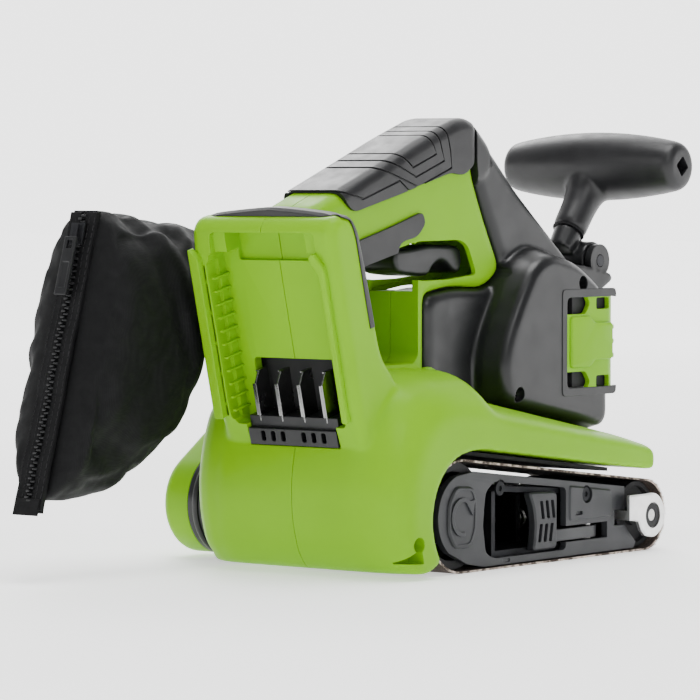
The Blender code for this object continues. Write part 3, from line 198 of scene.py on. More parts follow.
class Graph:
    """A short way to write a material's nodes."""

    def __init__(self, name):
        self.material = bpy.data.materials.new(name)
        self.material.use_nodes = True
        self.nodes = self.material.node_tree.nodes
        self.links = self.material.node_tree.links
        self.shader = self.nodes["Principled BSDF"]
        self.place = self.nodes.new("ShaderNodeTexCoord").outputs["Object"]

    def wire(self, source, node, socket):
        self.links.new(source, node.inputs[socket])

    def node(self, kind, **values):
        made = self.nodes.new(kind)
        for key, value in values.items():
            if hasattr(made, key):
                setattr(made, key, value)
            else:
                made.inputs[key.replace("_", " ")].default_value = value
        return made

    def noise(self, scale, detail=2, stretch=None):
        made = self.node("ShaderNodeTexNoise", Scale=scale, Detail=detail)
        source = self.place
        if stretch:
            mapping = self.nodes.new("ShaderNodeMapping")
            mapping.inputs["Scale"].default_value = stretch
            self.wire(source, mapping, "Vector")
            source = mapping.outputs["Vector"]
        self.wire(source, made, "Vector")
        return made.outputs["Fac"]

    def spread(self, source, low, high, start=0.3, end=0.7):
        made = self.nodes.new("ShaderNodeMapRange")
        for key, value in (("From Min", start), ("From Max", end), ("To Min", low), ("To Max", high)):
            made.inputs[key].default_value = value
        self.wire(source, made, "Value")
        return made.outputs["Result"]

    def mix(self, factor, first, second):
        made = self.nodes.new("ShaderNodeMix")
        made.data_type = "RGBA"
        for socket, value in ((made.inputs[6], first), (made.inputs[7], second)):
            if isinstance(value, tuple):
                socket.default_value = (*value, 1)
            else:
                self.links.new(value, socket)
        self.wire(factor, made, 0)
        return made.outputs[2]

    def clouds(self, scale, detail, first, second):
        """Two colours in soft patches."""
        return self.mix(self.spread(self.noise(scale, detail), 0, 1), first, second)

    def bump(self, heights, radius=0):
        """Bump from (height, depth in metres) pairs on top of slightly rounded edges."""
        normal = None
        if radius:
            edge = self.nodes.new("ShaderNodeBevel")
            edge.samples = 4
            edge.inputs["Radius"].default_value = radius
            normal = edge.outputs["Normal"]
        for height, depth in heights:
            made = self.nodes.new("ShaderNodeBump")
            made.inputs["Distance"].default_value = depth
            made.inputs["Strength"].default_value = 1
            self.wire(height, made, "Height")
            if normal:
                self.wire(normal, made, "Normal")
            normal = made.outputs["Normal"]
        self.wire(normal, self.shader, "Normal")

    def set(self, **values):
        for key, value in values.items():
            socket = self.shader.inputs[key.replace("_", " ")]
            if isinstance(value, tuple):
                socket.default_value = (*value, 1)
            elif isinstance(value, (int, float)):
                socket.default_value = value
            else:
                self.links.new(value, socket)


def plastic(name, colour, roughness, grain=0.00002, radius=0.0007, wear=0.06, shine=0.32):
    """Moulded plastic: fine spark-eroded grain, faint cloudiness and slightly rubbed edges."""
    graph = Graph(name)
    dark = tuple(c * (1 - wear) for c in colour)
    light = tuple(min(1, c * (1 + wear) + 0.002) for c in colour)
    cloud = graph.clouds(14, 3, dark, light)
    rubbed = tuple(min(1, c * 1.3 + 0.006) for c in colour)
    edge = graph.spread(graph.nodes.new("ShaderNodeNewGeometry").outputs["Pointiness"], 0, 0.45, 0.52, 0.62)
    graph.set(Base_Color=graph.mix(edge, cloud, rubbed),
              Roughness=graph.spread(graph.noise(90, 4), roughness - 0.05, roughness + 0.07),
              Specular_IOR_Level=shine)
    graph.bump([(graph.noise(2400, 2), grain), (graph.noise(35, 2), 0.00006)], radius)
    return graph.material


def rubber(name, colour, roughness):
    graph = Graph(name)
    cloud = graph.clouds(30, 4, tuple(c * 0.85 for c in colour), tuple(c * 1.2 for c in colour))
    graph.set(Base_Color=cloud, Specular_IOR_Level=0.4,
              Roughness=graph.spread(graph.noise(120, 3), roughness - 0.06, roughness + 0.06))
    graph.bump([(graph.noise(1800, 2), 0.000035)], 0.0006)
    return graph.material


def metal(name, colour, roughness, stretch=(40, 40, 1200)):
    """Plated steel with faint drawing lines and small scuffs."""
    graph = Graph(name)
    lines = graph.noise(1, 4, stretch)
    tone = graph.clouds(160, 5, tuple(c * 0.82 for c in colour), colour)
    graph.set(Base_Color=tone, Metallic=1, Roughness=graph.spread(lines, roughness - 0.06, roughness + 0.1))
    graph.bump([(lines, 0.000008), (graph.noise(500, 3), 0.000012)], 0.0003)
    return graph.material


def abrasive(name):
    """Cloth-backed grit, with pale threads where its edges have frayed."""
    graph = Graph(name)
    grit = graph.noise(1500, 3)
    body = graph.mix(graph.spread(grit, 0, 1, 0.4, 0.75), (0.02, 0.013, 0.010), (0.11, 0.075, 0.06))
    axes = graph.nodes.new("ShaderNodeSeparateXYZ")
    graph.wire(graph.place, axes, "Vector")
    side = graph.node("ShaderNodeMath", operation="ABSOLUTE")
    graph.wire(axes.outputs["Y"], side, 0)
    edge = graph.spread(side.outputs[0], 0, 1, 0.0372, 0.0379)
    torn = graph.node("ShaderNodeMath", operation="MULTIPLY")
    graph.wire(edge, torn, 0)
    graph.wire(graph.spread(graph.noise(330, 4), 0, 1, 0.42, 0.58), torn, 1)
    graph.set(Base_Color=graph.mix(torn.outputs[0], body, (0.62, 0.52, 0.45)), Roughness=0.93)
    graph.bump([(grit, 0.00022), (graph.noise(500, 2), 0.0001)])
    return graph.material


def woven(name, colour, pitch=0.0006, sheen=0.012):
    """Plain-weave cloth: two crossed sets of threads with fuzz and faded patches."""
    graph = Graph(name)
    heights = []
    for direction in ("Y", "Z"):
        wave = graph.node("ShaderNodeTexWave", wave_type="BANDS", bands_direction=direction)
        wave.inputs["Scale"].default_value = 2 * math.pi / (20 * pitch)
        wave.inputs["Distortion"].default_value = 0.6
        graph.wire(graph.place, wave, "Vector")
        heights.append(wave.outputs["Fac"])
    weave = graph.node("ShaderNodeMath", operation="MULTIPLY")
    graph.wire(heights[0], weave, 0)
    graph.wire(heights[1], weave, 1)
    faded = graph.clouds(22, 5, tuple(c * 0.7 for c in colour), tuple(c * 1.35 + 0.004 for c in colour))
    thread = graph.mix(graph.spread(weave.outputs[0], 0, 1, 0, 0.8), tuple(c * 0.8 for c in colour), faded)
    graph.set(Base_Color=thread, Roughness=graph.spread(graph.noise(200, 3), 0.55, 0.75),
              Sheen_Weight=sheen, Sheen_Roughness=0.45, Specular_IOR_Level=0.16)
    graph.bump([(weave.outputs[0], 0.000035), (graph.noise(900, 3), 0.00003),
                (graph.noise(70, 4), 0.00035)])
    return graph.material


def floor_material():
    graph = Graph("studio_floor")
    tone = graph.clouds(3, 2, (0.90, 0.90, 0.90), (0.94, 0.94, 0.94))
    reach = graph.node("ShaderNodeVectorMath", operation="LENGTH")
    graph.wire(graph.place, reach, 0)
    glow = graph.spread(reach.outputs["Value"], 0.8, 2.3, 0.5, 2.6)
    graph.set(Base_Color=tone, Roughness=0.7, Emission_Color=(1, 1, 1), Emission_Strength=glow)
    return graph.material


LIME = (0.17, 0.40, 0)
LOOKS = {
    "lime": plastic("lime_plastic", LIME, 0.36, 0.000012, shine=0.1),
    "black": plastic("black_plastic", (0.006, 0.0064, 0.0072), 0.33, 0.00002, wear=0.1, shine=0.4),
    "soft": rubber("soft_grip", (0.009, 0.009, 0.010), 0.40),
    "grey": plastic("grey_plastic", (0.020, 0.021, 0.024), 0.42, 0.00002, 0.0005, 0.08),
    # dark plastic for small real parts, and painted shade: the same look covers the sheets and blocks that
    # stand in for the shade inside the housing
    "dark": plastic("dark_plastic_and_shade", (0.010, 0.010, 0.011), 0.6, 0.00002),
    "steel": metal("plated_steel", (0.62, 0.62, 0.61), 0.30),
    "blade": metal("terminal_steel", (0.30, 0.30, 0.30), 0.22, (60, 60, 60)),
    "gun": metal("gunmetal", (0.045, 0.046, 0.05), 0.4, (90, 90, 90)),
    "cast": metal("painted_casting", (0.03, 0.031, 0.034), 0.55, (90, 90, 90)),
    "bright": metal("bright_steel", (0.86, 0.86, 0.85), 0.34, (60, 60, 60)),
    "copper": metal("windings", (0.72, 0.34, 0.16), 0.35, (900, 60, 900)),
    "drum": rubber("drum_rubber", (0.02, 0.02, 0.021), 0.7),
    "grit": abrasive("abrasive_cloth"),
    "board": plastic("circuit_board", (0.02, 0.16, 0.06), 0.4),
    "cloth": woven("bag_cloth", (0.0028, 0.003, 0.0034)),
    "tape": woven("zipper_cloth", (0.003, 0.0031, 0.0036), 0.0007),
    "thread": rubber("thread", (0.012, 0.012, 0.013), 0.7),
    "pale": rubber("frayed_thread", (0.55, 0.47, 0.41), 0.8),
}

NODE_LOOKS = {
    "black": ("terminal_block", "trigger", "trigger_switch", "cooling_fan", "drum_pulley",
              "handle_knuckle", "tracking_knob", "drive_case", "dust_port", "bag_collar",
              "motor_case_left", "motor_case_right", "zipper_slider", "zipper_pull"),
    "lime": ("housing_left", "housing_right", "vent_cover", "drive_cover"),
    "soft": ("grip_upper_overmold", "grip_lower_overmold", "dock_bumper", "front_handle",
             "drive_timing_belt"),
    "grey": ("side_frame_plate", "tension_lever"),
    "cast": ("base_frame", "roller_carriage", "plate_screw_1", "plate_screw_2", "platen_plate"),
    "gun": ("knuckle_pin",),
    "drum": ("drive_drum", "front_roller"),
    "grit": ("sanding_belt", "platen_pad"),
    "copper": ("motor_stator",),
    "board": ("controller_board",),
    "cloth": ("dust_bag", "zipper_tape"),
    "bright": ("roller_bracket",),
}


def paint_nodes():
    """Every CAD node that stays visible gets its finished material."""
    look_of = {node: look for look, nodes in NODE_LOOKS.items() for node in nodes}
    for name, node in NODES.items():
        node.data.materials.clear()
        node.data.materials.append(LOOKS[look_of.get(name, "steel")])


# ---- outlines (x, z)

BELT_WELL_R = 31.5
WELL_ARC = arc(DRUM_AXIS, BELT_WELL_R, 100, 218, 9)

LOWER_FULL = [
    (-113, 3), (-130, 3), (-137, 12), (-141.5, 27), (-142.5, 42), (-141, 55),
    (-137.5, 68), (-133, 79), (-122, 92), (-100, 97), (-66, 97), (-58, 84),
    (60, 61.1), (76, 56.5), (77, 54), (77, 41.5), (-70, 59.5),
] + WELL_ARC
LOWER_RIGHT = [
    (-113, 3), (-119, 3), (-122, 12), (-123, 27), (-121.5, 42), (-118, 52),
    (-112.5, 61), (-107, 66.5), (-99, 71.5), (-90, 73.5), (-66, 71.5), (-54, 70),
    (58, 53.5), (74, 51), (77, 49), (77, 41.5), (-70, 59.5),
] + WELL_ARC
POD = [
    (-130, 3), (-56, 3), (-40, 14), (-34, 52), (-34, 70), (-66, 90),
    (-122, 90), (-133, 79), (-137.5, 68), (-141, 55), (-142.5, 42), (-141.5, 27),
    (-137, 12),
]
TOWER = [
    (-137, 58), (-146, 80), (-153.2, 110), (-164.5, 155), (-165.5, 165), (-162, 170),
    (-156, 171.8), (-149, 171), (-144, 165), (-133, 131), (-125, 105), (-112, 92),
    (-110, 62),
]
HANDLE = [
    (-152, 163), (-149, 170), (-142, 175.5), (-130, 180), (-100, 191.5), (-60, 207),
    (-34, 216), (-26, 217), (-19.3, 214.8), (-19.3, 192), (-9.3, 170.7), (5.7, 143.3),
    (-7.3, 134.6), (-36, 135.6), (-58.3, 132.4), (-58.3, 87), (-100, 84), (-128, 94),
    (-136, 131),
]
HAND_LOOP = [
    (-122, 99), (-69, 99), (-65.5, 103), (-65.5, 139), (-64, 154), (-68, 158),
    (-106, 149.5), (-124, 145), (-128.5, 137), (-125, 103),
]
MOTOR = [
    (-58, 84.6), (60, 61.5), (76, 57), (80, 62), (82, 74), (82, 126), (79, 135),
    (66, 146), (48, 160), (18, 183), (-4, 203),
    (-19, 214.5), (-19, 192.2), (-9, 170.9), (6.1, 143.2), (-7, 134.2), (-36, 135.2),
    (-58, 132),
]
SHOULDER = [(-28, 217.4), (-19, 214.9), (-7, 204.6), (-3, 196), (-10, 187), (-28, 187)]
MOTOR_SIDE = [
    (-16, 78.5), (58, 64.5), (69, 62.5), (73, 68), (73, 126), (66, 135), (46, 147),
    (22, 152), (8, 146), (-2, 132), (-14, 112), (-19, 96),
]
SADDLE = [(60, 122), (80, 122), (92, 131), (103, 136.5), (101, 140), (88, 143), (66, 145.5)]
LOWER_HOLLOW = [
    (-116.5, 6), (-128, 6), (-134, 13.5), (-138.3, 28), (-139.3, 42), (-137.9, 54), (-134.5, 67),
    (-130, 77.5), (-120.5, 89), (-99.5, 93.8), (-67.5, 93.8), (-60, 81.2), (60, 57.8), (70, 54),
    (70, 46), (-68, 62.8),
] + arc(DRUM_AXIS, 34.7, 98, 214, 8)


# ---- solids

def solid(name, points, faces):
    mesh = bpy.data.meshes.new(name)
    mesh.from_pydata([tuple(c * MM for c in p) for p in points], [], faces)
    mesh.validate()
    editable = bmesh.new()
    editable.from_mesh(mesh)
    bmesh.ops.recalc_face_normals(editable, faces=editable.faces)
    editable.to_mesh(mesh)
    editable.free()
    obj = bpy.data.objects.new(name, mesh)
    bpy.context.scene.collection.objects.link(obj)
    return obj


def rings_solid(name, rings, closed=False):
    """Join rings of points by quads; cap both ends unless the stack closes on itself."""
    count = len(rings[0])
    points = [p for ring in rings for p in ring]
    faces = []
    steps = len(rings) if closed else len(rings) - 1
    for i in range(steps):
        a = i * count
        b = ((i + 1) % len(rings)) * count
        for j in range(count):
            k = (j + 1) % count
            faces.append((a + j, a + k, b + k, b + j))
    if not closed:
        faces.append(tuple(range(count)))
        faces.append(tuple((len(rings) - 1) * count + j for j in reversed(range(count))))
    return solid(name, points, faces)


def loft(name, stations):
    """A solid through XZ outlines placed at successive y values."""
    return rings_solid(name, [[(x, y, z) for x, z in outline] for y, outline in stations])


def prism(name, outline, y0, y1):
    return loft(name, [(y0, outline), (y1, outline)])


def plan_prism(name, outline, z0, z1):
    """A solid with an XY outline, standing between two heights."""
    return rings_solid(name, [[(x, y, z) for x, y in outline] for z in (z0, z1)])


def box(name, xs, ys, zs):
    return prism(name, rect(xs[0], zs[0], xs[1], zs[1]), *ys)


def spokes(axis, side, count):
    """Unit vectors all round an axis, the first of them along side."""
    other = axis.cross(side)
    angles = [2 * math.pi * i / count for i in range(count)]
    return [side * math.cos(angle) + other * math.sin(angle) for angle in angles]


def turned(name, profile, foot, axis, count=24):
    """Revolve a closed (along, radius) profile about an axis through foot."""
    axis = Vector(axis).normalized()
    rings = []
    for out in spokes(axis, axis.orthogonal().normalized(), count):
        rings.append([tuple(Vector(foot) + axis * t + out * r) for t, r in profile])
    return rings_solid(name, rings, closed=True)


def rod(name, profile, foot, axis, count=20):
    """A solid of revolution with full ends, from (along, radius) stations."""
    axis = Vector(axis).normalized()
    outs = spokes(axis, axis.orthogonal().normalized(), count)
    rings = [[tuple(Vector(foot) + axis * t + out * r) for out in outs] for t, r in profile]
    return rings_solid(name, rings)


def pin_y(name, centre, radius, y0, y1, count=16):
    return rod(name, [(0, radius), (y1 - y0, radius)], (centre[0], y0, centre[1]), (0, 1, 0), count)


def tube(name, path, outer, inner, count=16):
    """A hollow tube along a path of points, open at both ends."""
    points = [Vector(p) for p in path]
    tangents = []
    for i in range(len(points)):
        tangents.append((points[min(i + 1, len(points) - 1)] - points[max(i - 1, 0)]).normalized())
    side = tangents[0].orthogonal().normalized()
    outside = []
    inside = []
    for point, tangent in zip(points, tangents):
        side = (side - tangent * side.dot(tangent)).normalized()
        outs = spokes(tangent, side, count)
        outside.append([tuple(point + out * outer) for out in outs])
        inside.append([tuple(point + out * inner) for out in outs])
    return rings_solid(name, outside + inside[::-1], closed=True)


def stick_faces(base, sides):
    """The faces of one small stick whose two end rings are the points from base on."""
    faces = []
    for j in range(sides):
        k = (j + 1) % sides
        faces.append((base + j, base + k, base + sides + k, base + sides + j))
    faces.append((base, *(base + j for j in range(sides - 1, 0, -1))))
    faces.append(tuple(base + sides + j for j in range(sides)))
    return faces


def bake(obj):
    """Apply the object's modifiers to its mesh."""
    graph = bpy.context.evaluated_depsgraph_get()
    mesh = bpy.data.meshes.new_from_object(obj.evaluated_get(graph))
    obj.modifiers.clear()
    old = obj.data
    obj.data = mesh
    bpy.data.meshes.remove(old)
    return obj


def combine(base, tool, operation):
    """Apply one Boolean of tool to base and remove tool."""
    step = base.modifiers.new("combine", "BOOLEAN")
    step.solver = "MANIFOLD"
    step.operation = operation
    step.object = tool
    bake(base)
    bpy.data.objects.remove(tool)
    return base


def cut(base, *tools):
    for tool in tools:
        combine(base, tool, "DIFFERENCE")
    return base


def add(base, *tools):
    for tool in tools:
        combine(base, tool, "UNION")
    return base


def keep(base, tool):
    return combine(base, tool, "INTERSECT")


def show(obj, body, look, *stands_for, sharp=32, bevel=0):
    """Finish a visible piece: smoothing, material, body and the CAD nodes it stands for."""
    mesh = obj.data
    mesh.shade_smooth()
    mesh.set_sharp_from_angle(angle=math.radians(sharp))
    mesh.materials.clear()
    mesh.materials.append(LOOKS[look])
    if bevel:
        edge = obj.modifiers.new("edges", "BEVEL")
        edge.width = bevel * MM
        edge.segments = 3
        edge.limit_method = "ANGLE"
        edge.angle_limit = math.radians(38)
        edge.harden_normals = True
    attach(obj, body)
    if stands_for:
        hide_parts(*stands_for)
    return obj


def fuse(obj, voxel, smoothing, rounds):
    """Melt a union of solids into one skin with soft fillets where they meet."""
    step = obj.modifiers.new("skin", "REMESH")
    step.mode = "VOXEL"
    step.voxel_size = voxel * MM
    soft = obj.modifiers.new("soft", "SMOOTH")
    soft.factor = smoothing
    soft.iterations = rounds
    return bake(obj)


def quarter(radius, steps=6):
    """(inset, depth) pairs down a quarter-round edge."""
    pairs = []
    for k in range(steps + 1):
        angle = math.pi / 2 * k / steps
        pairs.append((radius * (1 - math.sin(angle)), radius * (1 - math.cos(angle))))
    return pairs


def rounded(outline, face_y, parting, radius, extra=0, soft=CORNER_R):
    """Stations of a shell with soft corners, its side face rounded off by radius."""
    toward = 1 if parting > face_y else -1
    shape = grow(outline, extra) if extra else outline
    face = face_y - toward * extra
    stations = [(face + toward * depth, soften(grow(shape, -inset), soft))
                for inset, depth in quarter(radius)]
    return stations + [(parting, soften(shape, soft))]


def lower_stations(face_y, inner_y, parting):
    """Stations of the lower shell: its side face swells to the full outline like a quarter ellipse."""
    stations = []
    for k in range(11):
        angle = math.pi / 2 * k / 10
        y = face_y + (inner_y - face_y) * (1 - math.cos(angle))
        stations.append((y, soften(blend(LOWER_RIGHT, LOWER_FULL, math.sin(angle)), CORNER_R)))
    stations.append((parting, stations[-1][1]))
    return stations


def join(base, *others):
    """Put several solids into one object without a Boolean; fuse() then makes one skin of them."""
    editable = bmesh.new()
    editable.from_mesh(base.data)
    for other in others:
        editable.from_mesh(other.data)
        bpy.data.objects.remove(other)
    editable.to_mesh(base.data)
    editable.free()
    return base


# ---- housing

SCREWS = {
    "housing_screw_rear": ((-121, 17), -37),
    "housing_screw_neck": ((-134, 165), 4),
    "motor_screw_low": ((-5.5, 82), -15),
    "motor_screw_high": ((49, 136), -12),
}


def drill(shell, screw, with_well=True):
    """A screw's bore from the right, and the well that its head sits in."""
    spot, head_y = SCREWS[screw]
    if with_well:
        cut(shell, pin_y("well", spot, SCREW_WELL_R, -70, head_y + 3.3, 24))
    cut(shell, pin_y("bore", spot, SCREW_BORE_R, head_y + 0.5, 28, 16))


def dock_frame(points):
    """Turn dock coordinates (out from the rail plane, y, up the rails) into x, y, z."""
    foot = Vector((-141, 0, 60))
    out = Vector((-math.cos(DOCK_LEAN), 0, -math.sin(DOCK_LEAN)))
    up = Vector((-math.sin(DOCK_LEAN), 0, math.cos(DOCK_LEAN)))
    return [tuple(foot + out * a + up * c + Vector((0, b, 0))) for a, b, c in points]


def dock_prism(name, outline, outs):
    """A solid with a (y, up) outline standing between two distances out from the rail plane."""
    return rings_solid(name, [dock_frame([(a, y, c) for y, c in outline]) for a in outs])


def dock_box(name, outs, ys, ups):
    return dock_prism(name, rect(ys[0], ups[0], ys[1], ups[1]), outs)


def cut_dock(shell):
    """The battery slide: recess, entry, top pocket, terminal opening and the rails' undercuts."""
    for name, sides, softness, outs in (
        ("recess", (-18.5, 12, 48.5, 96), 3, (-12, 30)),
        ("entry", (-20.5, 14, 50.5, 92), 3, (-7, 30)),
        ("pocket", (-9, 90, 39, 106), 1.5, (-14.5, 30)),
        ("throat", (-16.5, 88, 46.5, 106), 3, (-3.5, 30)),
        ("terminal_window", (-10, 15, 40, 42), 2, (-20, 5)),
    ):
        cut(shell, dock_prism(name, soften(rect(*sides), softness), outs))
    cut(shell, dock_box("block_bay", (-18.6, 5), (-12.1, 42.1), (1.4, 16.2)))
    cut(shell, dock_box("rail_channel", (-6.5, 30), (51.5, 54.8), (16, 90)))


def shell_half(name, right):
    """One half of the main housing: lower body, battery dock tower and D-handle."""
    toward = 1 if right else -1
    parting = PARTING_Y - toward * GAP / 2
    beyond = parting + toward * 4
    if right:
        lower = loft(name, lower_stations(LOWER_RIGHT_Y, -12, beyond))
        tower_y, handle_y = TOWER_RIGHT_Y, HANDLE_RIGHT_Y
    else:
        lower = loft(name, lower_stations(LOWER_LEFT_Y, 56, beyond))
        pod = [(45, -0.5), (60, -0.5), (68, -1.2), (73, -2.8), (76.5, -5.2), (78.2, -8), (78.8, -10)]
        join(lower, loft("pod", [(y, soften(grow(POD, inset), CORNER_R)) for y, inset in pod]))
        tower_y, handle_y = TOWER_LEFT_Y, HANDLE_LEFT_Y
    join(lower, loft("tower", rounded(TOWER, tower_y, beyond + toward, 5)),
         loft("handle", rounded(HANDLE, handle_y, beyond + 2 * toward, 6)))
    fuse(lower, 1.3, 0.5, 4)
    limit = (-60, parting) if right else (parting, 100)
    keep(lower, box("half", (-190, 100), limit, (-10, 240)))
    inner = parting + toward
    deep, full = (-30, -14) if right else (66, 56)
    hollow = [(deep, grow(LOWER_HOLLOW, -2.6)), (full, LOWER_HOLLOW), (inner, LOWER_HOLLOW)]
    cut(lower, loft("hollow", hollow))
    if not right:
        room = [(48, grow(POD, -WALL - 0.4)), (66, grow(POD, -WALL - 1)), (74.5, grow(POD, -11))]
        cut(lower, loft("pod_hollow", room))
    tower_hollow = [
        (-128, 76), (-137.5, 118), (-148, 158), (-149.5, 163), (-146.5, 163), (-136, 131),
        (-128, 106), (-115, 92), (-113, 78),
    ]
    cut(lower, prism("tower_hollow", tower_hollow, tower_y + toward * WALL, inner))
    grip_hollow = prism("grip_hollow", grow(HANDLE, -WALL), handle_y + toward * 2.6, inner)
    cut(grip_hollow, prism("loop_wall", grow(HAND_LOOP, WALL), -10, 40))
    cut(lower, grip_hollow)
    cut(lower, prism("hand_loop", soften(HAND_LOOP, LOOP_CORNER_R), *THROUGH_Y))
    cut_dock(lower)
    cut(lower, box("slot", (-81, -24), (1.7, 28.3), (134, 163)))
    window = soften([(-72, 140.5), (-71, 155.5), (-66, 158.2), (-31, 158.6), (-24.5, 155.5), (-20.8, 148),
                     (-17.5, 141.4), (-40, 139.4), (-62, 139)], 3.5)
    for y0, y1 in ((-6, 6), (24, 36)):
        cut(lower, prism("window", window, y0, y1))
    for screw in ("housing_screw_rear", "housing_screw_neck"):
        spot, head_y = SCREWS[screw]
        if right:
            add(lower, pin_y("boss", spot, 4.4, head_y - 3.7, PARTING_Y - 0.5, 16))
        drill(lower, screw)
    if right:
        pocket = soften([(-131, 8.6), (-119.6, 16.6), (-117.4, 8)], 1.6)
        cut(lower, prism("corner_pocket", pocket, -60, -36))
    else:
        cut(lower, pin_y("bearing_room", DRUM_AXIS, 14.2, 40, 60, 32))
        cut(lower, pin_y("axle_room", DRUM_AXIS, 8, 60, 90, 24))
        cut(lower, rod("port_hole", [(0, 14), (20, 14)], (-80, 56, 88), (0, 0, 1), 32))
    return lower


def build_housing():
    for name, right in (("housing_right", True), ("housing_left", False)):
        show(shell_half(name + "_skin", right), "housing", "lime", name)
    # A thin dark sheet in the gap between the housing's underside and the belt: painted shade.
    deck = prism("deck_shade_sheet", [(-70, 58.6), (62, 42.6), (62, 40.7), (-70, 56.6)], -26, 50)
    show(deck, "housing", "dark")
    # A dark box behind the terminal opening, deep in the housing: painted shade for the dark inside.
    shade_backing = dock_box("terminal_shade_backing", (-32, -21), (-14, 44), (4, 46))
    show(shade_backing, "housing", "dark")
    for i in range(11):
        low = 18 + RAIL_RIB_PITCH * i
        rib = dock_box(f"rail_rib_{i + 1}", (-11.8, -0.6), (46.6, 48.7), (low, low + 1.1))
        show(rib, "housing", "lime", bevel=0.2)
    for i in range(5):
        low = 21 + RAIL_WEB_PITCH * i
        web = dock_box(f"rail_web_{i + 1}", (-6.4, -0.5), (51.3, 55), (low, low + 1.6))
        show(web, "housing", "lime", bevel=0.2)
    hooked = soften([(-22, 15), (-18.8, 15), (-18.8, 86), (-13.5, 95), (-17, 97.5), (-22, 90)], 2)
    show(dock_prism("rail_lip_right", hooked, (-2, 2.6)), "housing", "lime", bevel=0.8)
    straight = soften([(52.4, 15), (57.8, 15), (57.8, 99), (52.4, 94)], 1.5)
    show(dock_prism("rail_lip", straight, (-0.8, 3.2)), "housing", "lime", bevel=0.8)


def band_outline(path, width):
    """The outline of a band of even width along an open XZ path."""
    sides = ([], [])
    for i, spot in enumerate(path):
        along = Vector(path[min(i + 1, len(path) - 1)]) - Vector(path[max(i - 1, 0)])
        across = Vector((-along.y, along.x)).normalized() * width / 2
        sides[0].append(tuple(Vector(spot) + across))
        sides[1].append(tuple(Vector(spot) - across))
    return sides[0] + sides[1][::-1]


def trim_band(name, path, width, y_face, parting, outline, radius, lift):
    """A narrow soft strip that follows a path down a shell's rounded side."""
    sunk = 0.6
    toward = 1 if parting > y_face else -1
    strip = loft(name, rounded(outline, y_face, parting, radius, lift))
    keep(strip, prism("band", band_outline(path, width), y_face - 10, parting + 1))
    cut(strip, loft("inside", rounded(outline, y_face + toward * sunk, parting + 5, radius, -sunk)))
    return show(strip, "housing", "soft")


# ---- grips

def handle_layer(name, lift):
    """The whole D-handle grown by lift, as one solid from side to side."""
    half = loft(name, rounded(HANDLE, HANDLE_RIGHT_Y, PARTING_Y + 0.05, 6, lift))
    other = loft("other_side", rounded(HANDLE, HANDLE_LEFT_Y, PARTING_Y - 0.05, 6, lift))
    add(half, other)
    return cut(half, prism("loop", soften(grow(HAND_LOOP, -lift), LOOP_CORNER_R), *THROUGH_Y))


def handle_skin(name, region, grooves, node):
    """A soft grip between two layers of the handle, limited to a region, with grooves of partial depth."""
    skin = handle_layer(name, GRIP_LIFT)
    if grooves:
        cutter = None
        for i, path in enumerate(grooves):
            tool = prism(f"groove_{i}", band_outline(path, 1), *THROUGH_Y)
            cutter = add(cutter, tool) if cutter else tool
        cut(cutter, handle_layer("groove_floor", GROOVE_LIFT))
        cut(skin, cutter)
    keep(skin, prism("region", region, *THROUGH_Y))
    cut(skin, handle_layer("under", GRIP_FIT))
    return show(skin, "housing", "soft", node)


def build_grips():
    grooves = [
        [(-150, 192), (-132.9, 183.9), (-111, 178.9), (-82.5, 187.6), (-70.5, 180)],
        [(-116, 204), (-106, 196), (-68, 184.6), (-40.5, 194), (-41.5, 202), (-48, 224)],
        [(-104, 206), (-96, 199.5), (-69.6, 189.4), (-46.5, 197.4), (-49, 204), (-56, 224)],
        [(-92, 210), (-84.8, 203), (-71.8, 194), (-53, 200.6), (-56.5, 207), (-63, 222)],
    ]
    top = soften([(-124, 177), (-117.6, 172.7), (-80, 181.5), (-41, 191.6), (-30, 190), (-20, 197),
                  (-20, 235), (-150, 235)], 5)
    handle_skin("grip_top", top, grooves, "grip_upper_overmold")
    low = soften([(-118, 158), (-92, 164.5), (-64, 172.4), (-61.5, 167), (-68, 160.5), (-82, 158),
                  (-85, 148), (-118, 136)], 5)
    handle_skin("grip_low", low, [], "grip_lower_overmold")
    stations = []
    for k in range(25):
        y = -24.5 + 79 * k / 24
        edge = max(0, abs(y - PARTING_Y) - 30) / 9.5
        crest = 175.6 - 3.4 * (abs(y - PARTING_Y) / 39.5) ** 1.4 - 1.6 * edge ** 2
        stations.append((y, [(-159.5, 168), (-159.5, crest - 1.9), (-157.6, crest - 0.4), (-150.5, crest),
                             (-146, crest - 1.6), (-143.5, crest - 5), (-143.5, 164)]))
    cap = loft("dock_cap", stations)
    cut(cap, loft("top_clearance", rounded(TOWER, TOWER_RIGHT_Y, 62, 5, 0.1)))
    show(cap, "housing", "soft", "dock_bumper", bevel=0.6)
    trim_band("dock_trim", [(-156, 172.4), (-149.8, 170.4), (-145.6, 161), (-138.8, 134), (-134.8, 119)],
              3.4, TOWER_RIGHT_Y, PARTING_Y - 20, TOWER, 5, 0.5)


# ---- motor case and vent

